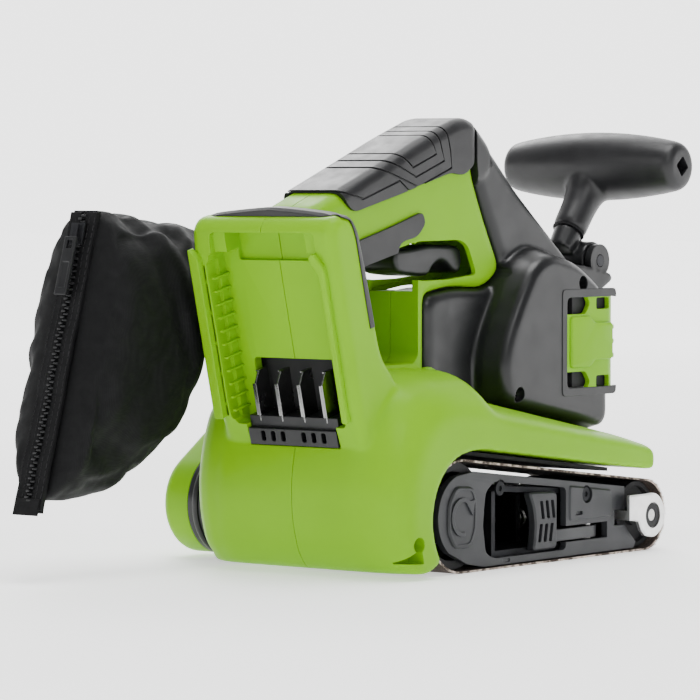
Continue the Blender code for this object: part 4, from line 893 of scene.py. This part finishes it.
def build_motor_case():
    """The black front case in two halves, its flank melted into the narrow spine."""
    for name, right in (("motor_case_right", True), ("motor_case_left", False)):
        side = 1 if right else -1
        face = MOTOR_RIGHT_Y if right else MOTOR_LEFT_Y
        parting = PARTING_Y - side * GAP / 2
        narrow = HANDLE_RIGHT_Y if right else HANDLE_LEFT_Y
        spine = loft(name + "_skin", rounded(MOTOR, narrow, parting + side * 6, 5))
        flank = [(face + side * depth, -inset) for inset, depth in quarter(5.6)]
        flank += [(face + side * 13, 2.2), (face + side * 20, 3), (parting + side * 5, 3)]
        join(spine, loft("flank", [(y, soften(grow(MOTOR_SIDE, inset), 9)) for y, inset in flank]),
             prism("saddle", soften(SADDLE, 3), narrow + side * 0.5, parting + side * 4),
             loft("shoulder", rounded(SHOULDER, narrow, parting + side * 7, 6, 1.4, 5)))
        fuse(spine, 1.1, 0.5, 5)
        limit = (-40, parting) if right else (parting, 70)
        keep(spine, box("half", (-80, 120), limit, (40, 240)))
        below = prism("deck_clearance", [(-70, 87.1), (-70, 20), (100, 20), (100, 53.2),
                                         (76, 57.8), (60, 62.3)], *THROUGH_Y)
        cut(spine, below)
        cut(spine, prism("handle_clearance", soften(grow(HANDLE, 0.35), CORNER_R), *THROUGH_Y))
        cut(spine, box("grip_clearance", (-60, -19.8), THROUGH_Y, (186, 240)))
        mouth = soften(rect(33, 81.8, 95, 130.7), 2)
        cut(spine, prism("vent_mouth", mouth, -40, 70))
        cut(spine, box("saddle_slot", (76, 120), (2.7, 27.3), (130.6, 165)))
        cut(spine, pin_y("knuckle_room", KNUCKLE_AXIS, 11.5, 2.7, 27.3, 32))
        cheek = (HANDLE_RIGHT_Y + 0.6, 2.3) if right else (27.6, HANDLE_LEFT_Y - 0.6)
        add(spine, pin_y("cheek", KNUCKLE_AXIS, 8.5, *cheek, 32))
        cut(spine, pin_y("cheek_bore", KNUCKLE_AXIS, 3.3, -10, 40, 24))
        for screw in ("motor_screw_low", "motor_screw_high"):
            drill(spine, screw, with_well=right)
        cut(spine, pin_y("motor_room", MOTOR_AXIS, 23, -17, 46.8, 32))
        if not right:
            cut(spine, pin_y("shaft_hole", MOTOR_AXIS, 12, 30, 60, 24))
        show(spine, "housing", "black", name)


def wrap(offset):
    """A U in plan: right side, rounded corners, front and left side."""
    points = [(34, -20 + offset)]
    for centre, angles in (((70, -8), (-90, 0)), ((70, 38), (0, 90))):
        points += arc(centre, 12 - offset, angles[0], angles[1], 10)
    return points + [(34, 50 - offset)]


def build_vent_cover():
    """The lime wrap-round grille: a raised side pad, openings above and below it, ribs across the front."""
    cover = plan_prism("vent_skin", wrap(0) + wrap(2.6)[::-1], 82.4, 130.1)
    for y0, y1 in ((-30, -12), (42, 60)):
        for z0, z1 in ((120.5, 131), (81, 91.5)):
            notch = soften([(30, z0), (51, z0), (55, (z0 + z1) / 2), (51, z1), (30, z1)], 2)
            cut(cover, prism("notch", notch, y0, y1))
            cut(cover, prism("window", soften(rect(60.5, z0 + 2.2, 72, z1 - 2.4), 1.5), y0, y1))
    for z in (84.6, 122.9):
        cut(cover, box("window", (76, 90), (-6, 36), (z, z + 5.2)))
    for i in range(4):
        z = 93.5 + VENT_PITCH * i
        cut(cover, box("slot", (76, 90), (-4, 34), (z, z + 3)))
    show(cover, "housing", "lime", "vent_cover", bevel=0.6)
    for y, sign in ((-20, -1), (50, 1)):
        pad = soften([(37, 93.5), (54, 93.5), (58, 97), (74, 97), (74, 116), (58, 116),
                      (54, 119.5), (37, 119.5)], 2.5)
        levels = [(y - sign * 1, 0), (y + sign * 0.6, 0), (y + sign * 1.3, -0.5), (y + sign * 1.6, -1.4)]
        side_pad = loft("vent_pad", [(level, grow(pad, inset)) for level, inset in levels])
        show(side_pad, "housing", "lime", bevel=0.3)
    for i in range(3):
        z = 97.6 + VENT_PITCH * i
        rib = plan_prism(f"vent_rib_{i + 1}", wrap(-1.5)[2:-2] + wrap(0.6)[2:-2][::-1], z, z + 2.6)
        show(rib, "housing", "lime", bevel=0.8)
    # A dark block behind the vent's openings: painted shade for the inside of the motor case.
    show(box("vent_shade_block", (44, 77), (-16.6, 46.6), (83.5, 129)), "housing", "dark")
    for side, y in ((-1, MOTOR_RIGHT_Y), (1, MOTOR_LEFT_Y)):
        rim_outer = soften(rect(30.5, 79.4, 78, 133.2), 3)
        rim_inner = soften(rect(34.5, 83.4, 79.5, 129), 3)
        rim = prism("vent_rim", rim_outer, *sorted((y - side * 2, y + side * 0.35)))
        cut(rim, prism("rim_mouth", rim_inner, y - 6, y + 6))
        show(rim, "housing", "black", bevel=0.7)
    sliver = soften([(-64.5, 95.4), (-56, 97.2), (-48, 94), (-47.6, 92.2), (-56, 93.6)], 1)
    show(prism("case_slit", sliver, HANDLE_RIGHT_Y - 0.35, HANDLE_RIGHT_Y + 3), "housing", "lime")


# ---- front handle

def build_front_handle():
    half = BAR_HALF_LENGTH
    profile = [(-half, 9.4), (-half + 1.2, 11.4), (-half + 3, 12.6)]
    for k in range(1, 24):
        t = -1 + 2 * k / 24
        profile.append((t * (half - 4), 12.9 + 4.9 * (1 - abs(t) ** 2)))
    profile += [(half - 3, 12.6), (half - 1.2, 11.4), (half, 9.4)]
    bar = rod("handle_bar", profile, (HANDLE_BAR[0], PARTING_Y, HANDLE_BAR[1]), (0, 1, 0), 48)
    direction = Vector((HANDLE_BAR[0] - STEM_FOOT[0], 0, HANDLE_BAR[1] - STEM_FOOT[1]))
    reach = direction.length
    stem = [(0.2, 7.6), (1.6, 8.8), (14, 9), (22, 9.8), (reach - 12, 12.4), (reach, 15)]
    add(bar, rod("stem", stem, (STEM_FOOT[0], PARTING_Y, STEM_FOOT[1]), direction, 40))
    fuse(bar, 1, 0.6, 14)
    for sign in (-1, 1):
        ends = sorted((PARTING_Y + sign * (half - 8), PARTING_Y + sign * (half + 4)))
        turned_square = ((-5.6, 0.6), (-0.6, -5.4), (5.6, -0.6), (0.6, 5.4))
        hole = soften([(HANDLE_BAR[0] + x, HANDLE_BAR[1] + z) for x, z in turned_square], 1.2)
        cut(bar, prism("end_hole", hole, *ends))
    foot = Vector((STEM_FOOT[0], PARTING_Y, STEM_FOOT[1]))
    cut(bar, rod("stud_bore", [(-4, 2.8), (16, 2.8)], foot, direction, 24))
    show(bar, "handle", "soft", "front_handle")
    unit = direction.normalized()
    washer = turned("stem_washer", [(-0.4, 2.9), (-0.4, 8.2), (0, 8.6), (0.1, 2.9)], foot, unit, 40)
    show(washer, "handle", "dark")

    knuckle = pin_y("knuckle_skin", KNUCKLE_AXIS, 9.8, 3, 27, 48)
    add(knuckle, rod("neck", [(0, 6.6), (11.4, 7.4)], foot - unit * 12, unit, 40))
    add(knuckle, box("web", (82, 92), (9, 21), (147, 156)))
    fuse(knuckle, 0.8, 0.5, 4)
    for y0, y1 in ((0, 7), (23, 30)):
        cut(knuckle, pin_y("eye", KNUCKLE_AXIS, 4.4, y0, y1, 32))
    cut(knuckle, pin_y("bore", KNUCKLE_AXIS, 3.2, -5, 35, 24))
    show(knuckle, "knuckle", "black", "handle_knuckle")


# ---- lower right side: plate, lever, belt

def build_side_plate():
    """Dark side plate with its window, lever slot and a raised panel carrying a rotation arrow."""
    outline = (
        arc((-74.8, 27), 20.5, 105, 235, 24)
        + [(-72, 4), (-58, 1.7), (70, 1.7), (72, 5), (66, 10), (62, 14), (53, 14.2),
           (53, 22), (61.5, 22.2), (61.8, 33.5), (-66, 48.2)]
    )
    plate = prism("plate_skin", outline, -36.5, -33)
    window = soften([(-57, 8), (-50, 5.2), (10.5, 5.2), (10.5, 36), (-50, 42.5), (-57, 38), (-59.5, 23)], 3)
    cut(plate, prism("window", window, -40, -30))
    cut(plate, box("lever_slot", (4, 46.5), (-40, -30), (8.8, 16.8)))
    badge = soften([(-83, 12), (-70, 12), (-65.5, 20), (-65, 34), (-68, 41), (-82, 42),
                    (-88, 34), (-88.5, 20)], 3.5)
    add(plate, loft("raised", [(-37.7, grow(badge, -0.8)), (-37, badge), (-34, badge)]))
    cut(plate, loft("sunk", [(-40, grow(badge, -2)), (-37.3, grow(badge, -2))]))
    add(plate, turned("bearing_cup", [(0, 11.3), (0, 14), (8.5, 14), (8.5, 11.3)],
                      (DRUM_AXIS[0], -33.8, DRUM_AXIS[1]), (0, 1, 0), 40))
    ledge = soften([(13, 19), (50, 19), (50, 32.6), (13, 36.8)], 2)
    add(plate, loft("ledge", [(-37.2, grow(ledge, -0.8)), (-36.6, ledge), (-35, ledge)]))
    for spot in PLATE_SCREWS:
        cut(plate, pin_y("plate_hole", spot, 2.1, -40, -30, 24))
        cut(plate, pin_y("plate_well", spot, 4.4, -40, -35, 32))
    for x, z in ((21, 22.6), (-40, 3.6)):
        cut(plate, prism("vent", soften(rect(x - 3, z - 0.9, x + 3, z + 0.9), 0.8), -40, -36))
    show(plate, "housing", "grey", "side_frame_plate", bevel=0.5)

    ring_outer = arc((-77, 27), 9.4, 40, 280, 28)
    ring_inner = arc((-77, 27), 7.2, 40, 280, 28)
    hook = prism("arrow_shaft", ring_outer + ring_inner[::-1], -38.1, -36.4)
    tip = Vector(arc((-77, 27), 8.3, 40, 40, 1)[0])
    head = [tuple(tip + Vector(p)) for p in ((-4.2, 1.6), (3, 2.6), (1.2, -5))]
    add(hook, prism("arrow_head", head, -38.15, -36.4))
    show(hook, "housing", "grey", bevel=0.2)


def build_lever():
    px, py = LEVER_PIVOT
    lever = plan_prism("lever_skin", [
        (px + 3.2, py - 3.4), (px + 4.6, py), (px + 3.2, py + 3.4), (px - 2, py + 4), (px - 6, py + 0.6),
        (-6, py - 2.4), (-6, py - 5.6), (px - 3, py - 5.6),
    ], 9.6, 15.4)
    tab = soften([(-17, 6.3), (3.4, 6.3), (3.4, 34.5), (-20.5, 35.4), (-16.5, 28), (-15, 20),
                  (-15.6, 12)], 3)
    add(lever, loft("tab", [(-36.4, grow(tab, -0.9)), (-35.6, tab), (-32.2, tab)]))
    for low, slope in ((10.2, -1.6), (21.6, 1.6)):
        for i in range(3):
            x = -11.6 + LOUVRE_PITCH * i
            slot = soften([(x + slope, low), (x + slope + 2.5, low), (x + 2.5, low + 9), (x, low + 9)], 0.8)
            cut(lever, prism("louvre", slot, -40, -34))
    cut(lever, rod("pivot_bore", [(0, 2.1), (20, 2.1)], (px, py, 4), (0, 0, 1), 24))
    show(lever, "lever", "grey", "tension_lever", bevel=0.35)


def build_belt():
    """The belt as a thin band whose cut edges wander a little and shed threads."""
    random.seed(11)
    count = 150
    outer, inner = (
        two_circle_hull(DRUM_AXIS, DRUM_LOOP_R - depth, ROLLER_AXIS, ROLLER_LOOP_R - depth, count // 2)
        for depth in (0, BELT_THICKNESS)
    )
    rings = []
    for (x, z), (in_x, in_z) in zip(outer, inner):
        right = BELT_HALF_WIDTH - 0.35 * random.random()
        left = BELT_HALF_WIDTH - 0.35 * random.random()
        stops = (-right, -right + 4, left - 4, left)
        rings.append([(x, y, z) for y in stops] + [(in_x, y, in_z) for y in reversed(stops)])
    belt = rings_solid("belt_skin", rings, closed=True)
    show(belt, "housing", "grit", "sanding_belt", sharp=40)
    threads = []
    for _ in range(THREADS):
        k = random.randrange(len(outer))
        a, b = Vector(outer[k]), Vector(outer[(k + 1) % len(outer)])
        at = a.lerp(b, random.random())
        side = -1 if random.random() < 0.75 else 1
        along = (b - a).normalized() * random.uniform(-1.3, 1.3)
        foot = Vector((at.x, side * (BELT_HALF_WIDTH - 0.3), at.y))
        tip = Vector((at.x + along.x, side * (BELT_HALF_WIDTH + random.uniform(0.2, 0.9)), at.y + along.y))
        threads.append((foot, tip))
    points, faces = [], []
    for foot, tip in threads:
        axis = (tip - foot).normalized()
        side = axis.orthogonal().normalized() * 0.07
        other = axis.cross(side)
        base = len(points)
        for spot in (foot, tip):
            points.append(tuple(spot + side))
            points.append(tuple(spot - side * 0.5 + other * 0.9))
            points.append(tuple(spot - side * 0.5 - other * 0.9))
        faces += stick_faces(base, 3)
    fray = solid("belt_threads", points, faces)
    show(fray, "housing", "pale")


def build_bracket():
    """The bent steel hook that carries the front roller's axle."""
    eye = arc(ROLLER_AXIS, 11.2, -90, 90, 24)
    hook = eye + [(70, 29.2), (58.2, 29.2), (58.2, 16.5), (62, 16.2), (66, 15.5), (68.5, 11), (72, 8)]
    bracket = loft("bracket_skin", [(-43, grow(hook, -0.7)), (-42.3, hook), (-40.5, hook)])
    add(bracket, box("tab", (58.2, 60.4), (-41.5, -31.3), (16.6, 21.2)))
    cut(bracket, pin_y("eye_hole", ROLLER_AXIS, 6.6, -50, -41.4, 36))
    cut(bracket, pin_y("bore", ROLLER_AXIS, 3.8, -50, -30, 36))
    show(bracket, "carriage", "bright", "roller_bracket", bevel=0.4)
    bush = turned("axle_bush", [(0, 3.2), (0, 6.2), (1.2, 6.4), (1.8, 3.2)],
                  (ROLLER_AXIS[0], -42.3, ROLLER_AXIS[1]), (0, 1, 0), 32)
    show(bush, "carriage", "dark")


def build_trigger():
    outline = soften([
        (-76, 154), (-77, 149), (-75, 144), (-70, 142.3), (-56, 141), (-49, 141.4),
        (-46, 145.5), (-40, 148.6), (-34, 147.4), (-29, 142.6), (-24, 142), (-21.5, 147),
        (-22.5, 154), (-27, 156), (-50, 156.5), (-62, 155),
    ], 3)
    stations = [(3.4 + depth, grow(outline, -inset)) for inset, depth in quarter(2.4)]
    stations += [(26.6 - depth, grow(outline, -inset)) for inset, depth in reversed(quarter(2.4))]
    show(loft("trigger_skin", stations), "trigger", "black", "trigger")


# ---- battery contacts

def build_terminals():
    block = dock_box("block_skin", (-18, -1.5), (-11.5, 41.5), (2, 15.6))
    cut(block, dock_box("step", (-4, 0), (-14, 44), (10, 18)))
    for i in range(6):
        y = -5 + i * 6 + (6.5 if i > 2 else 0)
        slot = soften(rect(y, 3.9, y + 2.8, 8.9), 1.3)
        cut(block, dock_prism("eyelet", slot, (-6, 0)))
    blades = [BLADE_FIRST_Y + BLADE_PITCH * i for i in range(4)]
    for y in blades:
        cut(block, dock_box("blade_slot", (-17, -5), (y - 0.8, y + 0.8), (11, 20)))
    show(block, "housing", "black", "terminal_block", bevel=0.5)
    for i, y in enumerate(blades):
        spine = [(-14.5, 11.6), (-5.2, 11.6), (-4, 13), (-4, 31.5), (-8, 37), (-14.5, 37)]
        rings = [dock_frame([(a, y + w, c) for a, c in spine]) for w in (-0.45, 0.45)]
        blade = rings_solid(f"blade_skin_{i + 1}", rings)
        add(blade, dock_box("return_edge", (-4.8, -4.1), (y - 0.4, y + 1.8), (13.4, 31.2)))
        add(blade, dock_box("top_edge", (-14, -8.2), (y - 0.4, y + 2), (36.2, 36.9)))
        show(blade, "housing", "blade", f"terminal_blade_{i + 1}", bevel=0.15)


# ---- dust bag

BAG_STATIONS = [
    (-104, 159, -104, 119, 20),
    (-112, 162, -111, 114, 25),
    (-126, 168, -128, 99, 28),
    (-148, 172, -152, 56, 31),
    (-172, 176, -185, 37, 30),
    (-186, 177, -217, 35.4, 30),
    (-192.5, 176.8, -229, 34.6, 27),
    (-196.5, 175.5, -236, 34, 20),
]


def bag_section(station, shrink, count):
    top = Vector((station[0], station[1]))
    low = Vector((station[2], station[3]))
    centre = (top + low) / 2
    half = (top - low) / 2
    half -= half.normalized() * shrink
    ring = []
    for i in range(count):
        angle = 2 * math.pi * i / count
        c, s = math.cos(angle), math.sin(angle)
        across = math.copysign(abs(c) ** 0.8, c) * (station[4] - shrink)
        spot = centre + half * math.copysign(abs(s) ** 0.8, s)
        ring.append((spot.x, BAG_Y + across, spot.y))
    return ring


def seam_axes():
    """The zipper's line: top point, unit vector down it, unit vector out from the bag, length."""
    top = Vector((SEAM_TOP[0], 0, SEAM_TOP[1]))
    low = Vector((SEAM_FOOT[0], 0, SEAM_FOOT[1]))
    down = (low - top).normalized()
    return top, down, Vector((down.z, 0, -down.x)), (low - top).length


def seam_out(spot):
    """How far a point lies out from the zipper's line; negative inside the bag."""
    top, down, back, length = seam_axes()
    return (spot - Vector((top.x, BAG_Y, top.z))).dot(back)


def build_bag():
    """A slack cloth bag: a closed form that swells under pressure and then takes its folds."""
    shell = rings_solid("dust_bag_skin", [bag_section(s, 2.6, 48) for s in BAG_STATIONS])
    step = shell.modifiers.new("even", "REMESH")
    step.mode = "VOXEL"
    step.voxel_size = BAG_VOXEL
    bake(shell)
    before = [v.co.copy() for v in shell.data.vertices]
    pinned = shell.vertex_groups.new(name="held")
    for v in shell.data.vertices:
        spot = v.co / MM
        at_mouth = spot.x > -116
        if at_mouth or seam_out(spot) > -5.5:
            pinned.add([v.index], 1, "REPLACE")
    cloth = shell.modifiers.new("cloth", "CLOTH")
    settings = cloth.settings
    settings.vertex_group_mass = "held"
    settings.quality = 5
    settings.mass = 0.15
    settings.tension_stiffness = 20
    settings.compression_stiffness = 6
    settings.bending_stiffness = 0.12
    settings.use_pressure = True
    settings.uniform_pressure_force = 4
    settings.shrink_min = -0.06
    settings.effector_weights.gravity = 0
    cloth.point_cache.frame_start = 1
    cloth.point_cache.frame_end = CLOTH_FRAMES
    for number in range(1, CLOTH_FRAMES + 1):
        bpy.context.scene.frame_set(number)
    bake(shell)
    for v, old in zip(shell.data.vertices, before):
        moved = v.co - old
        if moved.length > CLOTH_REACH:
            v.co = old + moved.normalized() * CLOTH_REACH
    bpy.context.scene.frame_set(1)
    crease(shell)
    step = shell.modifiers.new("fine", "SUBSURF")
    step.levels = step.render_levels = 1
    bake(shell)
    show(shell, "bag", "cloth", "dust_bag", sharp=180)
    return shell


def crease(shell):
    """Sagging folds from the top edge, a deep one from the zipper's head and fans below."""
    normals = [v.normal.copy() for v in shell.data.vertices]
    for v, normal in zip(shell.data.vertices, normals):
        spot = v.co / MM
        fade = min(1, max(0, (-seam_out(spot) - 3) / 12)) * min(1, max(0, (-112 - spot.x) / 14))
        drop = min(1, max(0, (176 - spot.z) / 95))
        side = min(1, 0.3 + abs(spot.y - BAG_Y) / 26)
        along = spot.x + 0.28 * (spot.z - 176) + 5 * math.sin(spot.z * 0.045)
        deep = -3.4 * math.exp(-((along + 176 + 10 * drop) / 4.2) ** 2) * (1 - 0.55 * drop)
        deep += 1.6 * math.exp(-((along + 166 + 12 * drop) / 5.5) ** 2) * (1 - 0.3 * drop)
        deep += -2.2 * math.exp(-((along + 150 + 16 * drop) / 6) ** 2) * (1 - 0.8 * drop)
        deep += -1.5 * math.exp(-((spot.x - 0.75 * spot.z + 258) / 5) ** 2)
        wave = 0.45 * math.sin(along * 0.42 + 1.5 * math.sin(spot.z * 0.05))
        wave += 0.4 * math.sin(spot.x * 0.2 - spot.z * 0.17)
        wave += 0.2 * math.sin(spot.x * 0.83 + spot.y * 0.5 + spot.z * 0.41)
        v.co += normal * (deep + wave - 0.9) * fade * side * MM


def seam_point(along, y, out):
    """A point given along the zipper's line, to the side of it and out from the bag."""
    top, down, back, length = seam_axes()
    return tuple(top + down * along + back * out + Vector((0, BAG_Y + y, 0)))


def ribbon(name, along, across, outs, steps=1, wave=None):
    """A box laid along the zipper line, in short steps so that it can undulate."""
    rings = []
    for i in range(steps + 1):
        a = along[0] + (along[1] - along[0]) * i / steps
        lift = wave(a) if wave else 0
        corners = rect(across[0], outs[0], across[1], outs[1])
        rings.append([seam_point(a, y, out + lift) for y, out in corners])
    return rings_solid(name, rings)


def build_zipper():
    length = seam_axes()[3]

    def lift(a):
        return 0.35 * math.sin(a * 0.11) + 0.2 * math.sin(a * 0.31 + 1)

    for side, sign in (("right", -1), ("left", 1)):
        inner, outer = sign * 1.6, sign * 8.4
        band = ribbon(f"tape_{side}", (2, length - 2), sorted((inner, outer)), (-3, -1), 60, lift)
        stands = ("zipper_tape",) if side == "right" else ()
        show(band, "bag", "tape", *stands, bevel=0.3)
        points, faces = [], []
        for y in (sign * 4.2, sign * 7.4):
            for i in range(int((length - 10) / STITCH_PITCH)):
                a = 5 + STITCH_PITCH * i
                base = len(points)
                for end in (a, a + 2.5):
                    for dy, height in ((-0.25, 0), (0.25, 0), (0, 0.32)):
                        points.append(seam_point(end, y + dy, -1.05 + height + lift(end)))
                faces += stick_faces(base, 3)
        show(solid(f"stitches_{side}", points, faces), "bag", "thread")
    show(ribbon("tape_back", (1, length - 1), (-7.4, 7.4), (-4.6, -2.1), 60, lift), "bag", "tape")
    points, faces = [], []
    for i in range(int((length - 8) / TOOTH_PITCH)):
        a = 4 + TOOTH_PITCH * i
        sign = 1 if i % 2 else -1
        base = len(points)
        for da in (-0.45, 0.45):
            for y, o in ((-0.5 * sign, -1.3), (2.3 * sign, -1.3), (2.1 * sign, -0.1), (-0.3 * sign, 0.2)):
                points.append(seam_point(a + da, y, o + lift(a)))
        faces += stick_faces(base, 4)
    teeth = solid("zipper_teeth", points, faces)
    show(teeth, "bag", "black", bevel=0.15)
    tab = ribbon("end_tab", (length - 7, length + 1), (-7.6, 7.6), (-1.2, 0.1), 4)
    show(tab, "bag", "tape", bevel=0.3)

    slider = ribbon("slider_skin", (8, 18.6), (-4.2, 4.2), (0.7, 1.7))
    add(slider, ribbon("post", (9, 16.6), (-1.6, 1.6), (1.4, 3.4)))
    cut(slider, ribbon("wedge", (15.6, 20), (-1.4, 1.4), (0, 1.8)))
    show(slider, "zip_slider", "gun", "zipper_slider", bevel=0.4)
    pull = ribbon("pull_skin", (15.6, 44), (-3.6, 3.6), (3.6, 5.2))
    cut(pull, ribbon("eyelet", (17.2, 21.4), (-1.7, 1.7), (3, 6)))
    cut(pull, ribbon("grip", (28, 40.5), (-2, 2), (4.9, 6)))
    show(pull, "zip_pull", "black", "zipper_pull", bevel=0.5)


# ---- left rear: drive case, port, collar

def build_left_parts():
    """The drive case with its ribs and cover, the nozzle elbow and the bag's collar."""
    def hull(inset):
        return grow(two_circle_hull(DRUM_AXIS, CASE_R, MOTOR_AXIS, CASE_SMALL_R, 36), inset)

    room = two_circle_hull(DRUM_AXIS, CASE_R - 2.4, MOTOR_AXIS, CASE_SMALL_R - 2.4, 36)
    back = [(CASE_Y[0] + depth, hull(-inset)) for inset, depth in quarter(2.6)]
    case = loft("case_skin", back + [(CASE_Y[1], hull(0))])
    add(case, pin_y("spigot", MOTOR_AXIS, 11, MOTOR_LEFT_Y + GAP, CASE_Y[0] + 2, 40))
    cut(case, prism("case_room", room, CASE_Y[0] + 2.6, CASE_Y[1] + 2))
    cut(case, pin_y("axle_hole", DRUM_AXIS, 7, CASE_Y[0] - 6, CASE_Y[0] + 14, 32))
    cut(case, pin_y("spigot_bore", MOTOR_AXIS, 7, MOTOR_LEFT_Y - 4, CASE_Y[0] + 14, 32))
    show(case, "housing", "black", "drive_case")
    for i in range(4):
        y = 84.5 + CASE_RIB_PITCH * i
        section = ((0, -0.4), (0, 0.7), (1, 1.2), (2.2, 1.2), (3.2, 0.7), (3.2, -0.4))
        rings = [[(x, y + up, z) for x, z in hull(out)] for up, out in section]
        show(rings_solid(f"case_rib_{i + 1}", rings, closed=True), "housing", "black")

    front = [(COVER_Y[1] - depth, hull(-inset)) for inset, depth in quarter(6)]
    cover = loft("cover_skin", [(COVER_Y[0], hull(0))] + front[::-1])
    inside = [(COVER_Y[0] - 2, 0), (COVER_Y[1] - 6.5, 0), (COVER_Y[1] - 2.6, -3)]
    cut(cover, loft("cover_room", [(y, grow(room, inset)) for y, inset in inside]))
    middle = blend([DRUM_AXIS], [MOTOR_AXIS], 0.5)[0]
    cut(cover, pin_y("well", middle, 3.2, COVER_Y[1] - 2, COVER_Y[1] + 4, 32))
    cut(cover, pin_y("bore", middle, 1.9, COVER_Y[1] - 12, COVER_Y[1] + 4, 24))
    show(cover, "housing", "lime", "drive_cover")
    for radius, centre in ((15, DRUM_AXIS), (8, MOTOR_AXIS)):
        section = ((-1, -2.6), (0.7, -2), (0.9, -1), (0.7, 0), (-1, 0.6))
        ring = turned("cover_boss", [(up, radius + out) for up, out in section],
                      (centre[0], COVER_Y[1], centre[1]), (0, 1, 0), 64)
        show(ring, "housing", "lime")

    path = [(-80, 56, 91), (-80, 56.5, 104), (-79.5, 60, 118), (-79, 68, 129.5), (-79.5, 78, 136.5),
            (-82.5, 87, 139), (-89, 93.5, 139), (-99, 95, 139), (-118, 95, 139)]
    smooth = []
    for i in range(len(path) - 1):
        p0, p1, p2, p3 = (Vector(path[min(max(k, 0), len(path) - 1)]) for k in (i - 1, i, i + 1, i + 2))
        for k in range(5):
            t = k / 5
            smooth.append(tuple(0.5 * (2 * p1 + (p2 - p0) * t + (2 * p0 - 5 * p1 + 4 * p2 - p3) * t ** 2
                                       + (3 * p1 - p0 - 3 * p2 + p3) * t ** 3)))
    show(tube("port_skin", smooth + [path[-1]], 13, 11, 48), "housing", "black", "dust_port")
    collar = turned("collar_skin", [(0, 13.3), (0, 16), (1.2, 17.1), (3, 17.5), (4.8, 17.1), (6, 16),
                                    (15, 16), (15, 13.3)], (-101, BAG_Y, PORT_Z), (-1, 0, 0), 64)
    show(collar, "bag", "black", "bag_collar", bevel=0.3)
    hem = turned("bag_hem", [(0.5, 16.2), (0.5, 19.4), (2, 20.4), (4, 20.2), (5.5, 18.6), (5, 16.2)],
                 (-103, BAG_Y, PORT_Z), (-1, 0, 0), 64)
    show(hem, "bag", "cloth")


# ---- studio

def build_studio():
    floor = plan_prism("studio_floor", rect(-FLOOR_REACH, -FLOOR_REACH, FLOOR_REACH, FLOOR_REACH), -20, 0)
    floor.data.materials.append(floor_material())

    world = bpy.data.worlds.new("studio")
    world.use_nodes = True
    nodes, links = world.node_tree.nodes, world.node_tree.links
    direction = nodes.new("ShaderNodeTexCoord").outputs["Generated"]
    toward = nodes.new("ShaderNodeVectorMath")
    toward.operation = "DOT_PRODUCT"
    toward.inputs[1].default_value = (0.79, 0.61, 0)
    links.new(direction, toward.inputs[0])
    axes = nodes.new("ShaderNodeSeparateXYZ")
    links.new(direction, axes.inputs["Vector"])
    glows = nodes.new("ShaderNodeMath")
    glows.operation = "MAXIMUM"
    for socket, source, limits in ((0, toward.outputs["Value"], (0.2, 0.95, 0.3, 3.2)),
                                   (1, axes.outputs["Z"], (0.04, 0.18, 3.2, 0))):
        ramp = nodes.new("ShaderNodeMapRange")
        ramp.interpolation_type = "SMOOTHSTEP"
        for key, value in zip(("From Min", "From Max", "To Min", "To Max"), limits):
            ramp.inputs[key].default_value = value
        links.new(source, ramp.inputs["Value"])
        links.new(ramp.outputs["Result"], glows.inputs[socket])
    links.new(glows.outputs["Value"], nodes["Background"].inputs["Strength"])
    nodes["Background"].inputs["Color"].default_value = (1, 1, 1, 1)
    bpy.context.scene.world = world

    for name, place, size, power in (
        ("key", (-1, -1.6, 1.5), 0.9, 12),
        ("fill", (-1.8, 0.4, 1), 0.8, 5),
        ("rim", (0.9, 1.2, 1.3), 0.8, 10),
        ("top", (0, -0.1, 1.7), 1.2, 30),
    ):
        data = bpy.data.lights.new(name, "AREA")
        data.shape = "DISK"
        data.size = size
        data.energy = power
        lamp = bpy.data.objects.new(name, data)
        lamp.location = place
        lamp.rotation_euler = (Vector(LAMP_AIM) - Vector(place)).to_track_quat("-Z", "Y").to_euler()
        bpy.context.scene.collection.objects.link(lamp)

    data = bpy.data.cameras.new("camera")
    data.lens = 205.7
    data.sensor_width = 36
    data.clip_end = 30
    camera = bpy.data.objects.new("camera", data)
    camera.location = (-1.6114, -1.1680, 0.1871)
    aim = Vector(CAMERA_AIM) - camera.location
    camera.rotation_euler = aim.to_track_quat("-Z", "Y").to_euler()
    bpy.context.scene.collection.objects.link(camera)
    bpy.context.scene.camera = camera


def main():
    paint_nodes()
    build_housing()
    build_grips()
    build_motor_case()
    build_vent_cover()
    build_front_handle()
    build_side_plate()
    build_lever()
    build_bracket()
    build_belt()
    build_trigger()
    build_terminals()
    build_bag()
    build_zipper()
    build_left_parts()
    build_studio()


main()
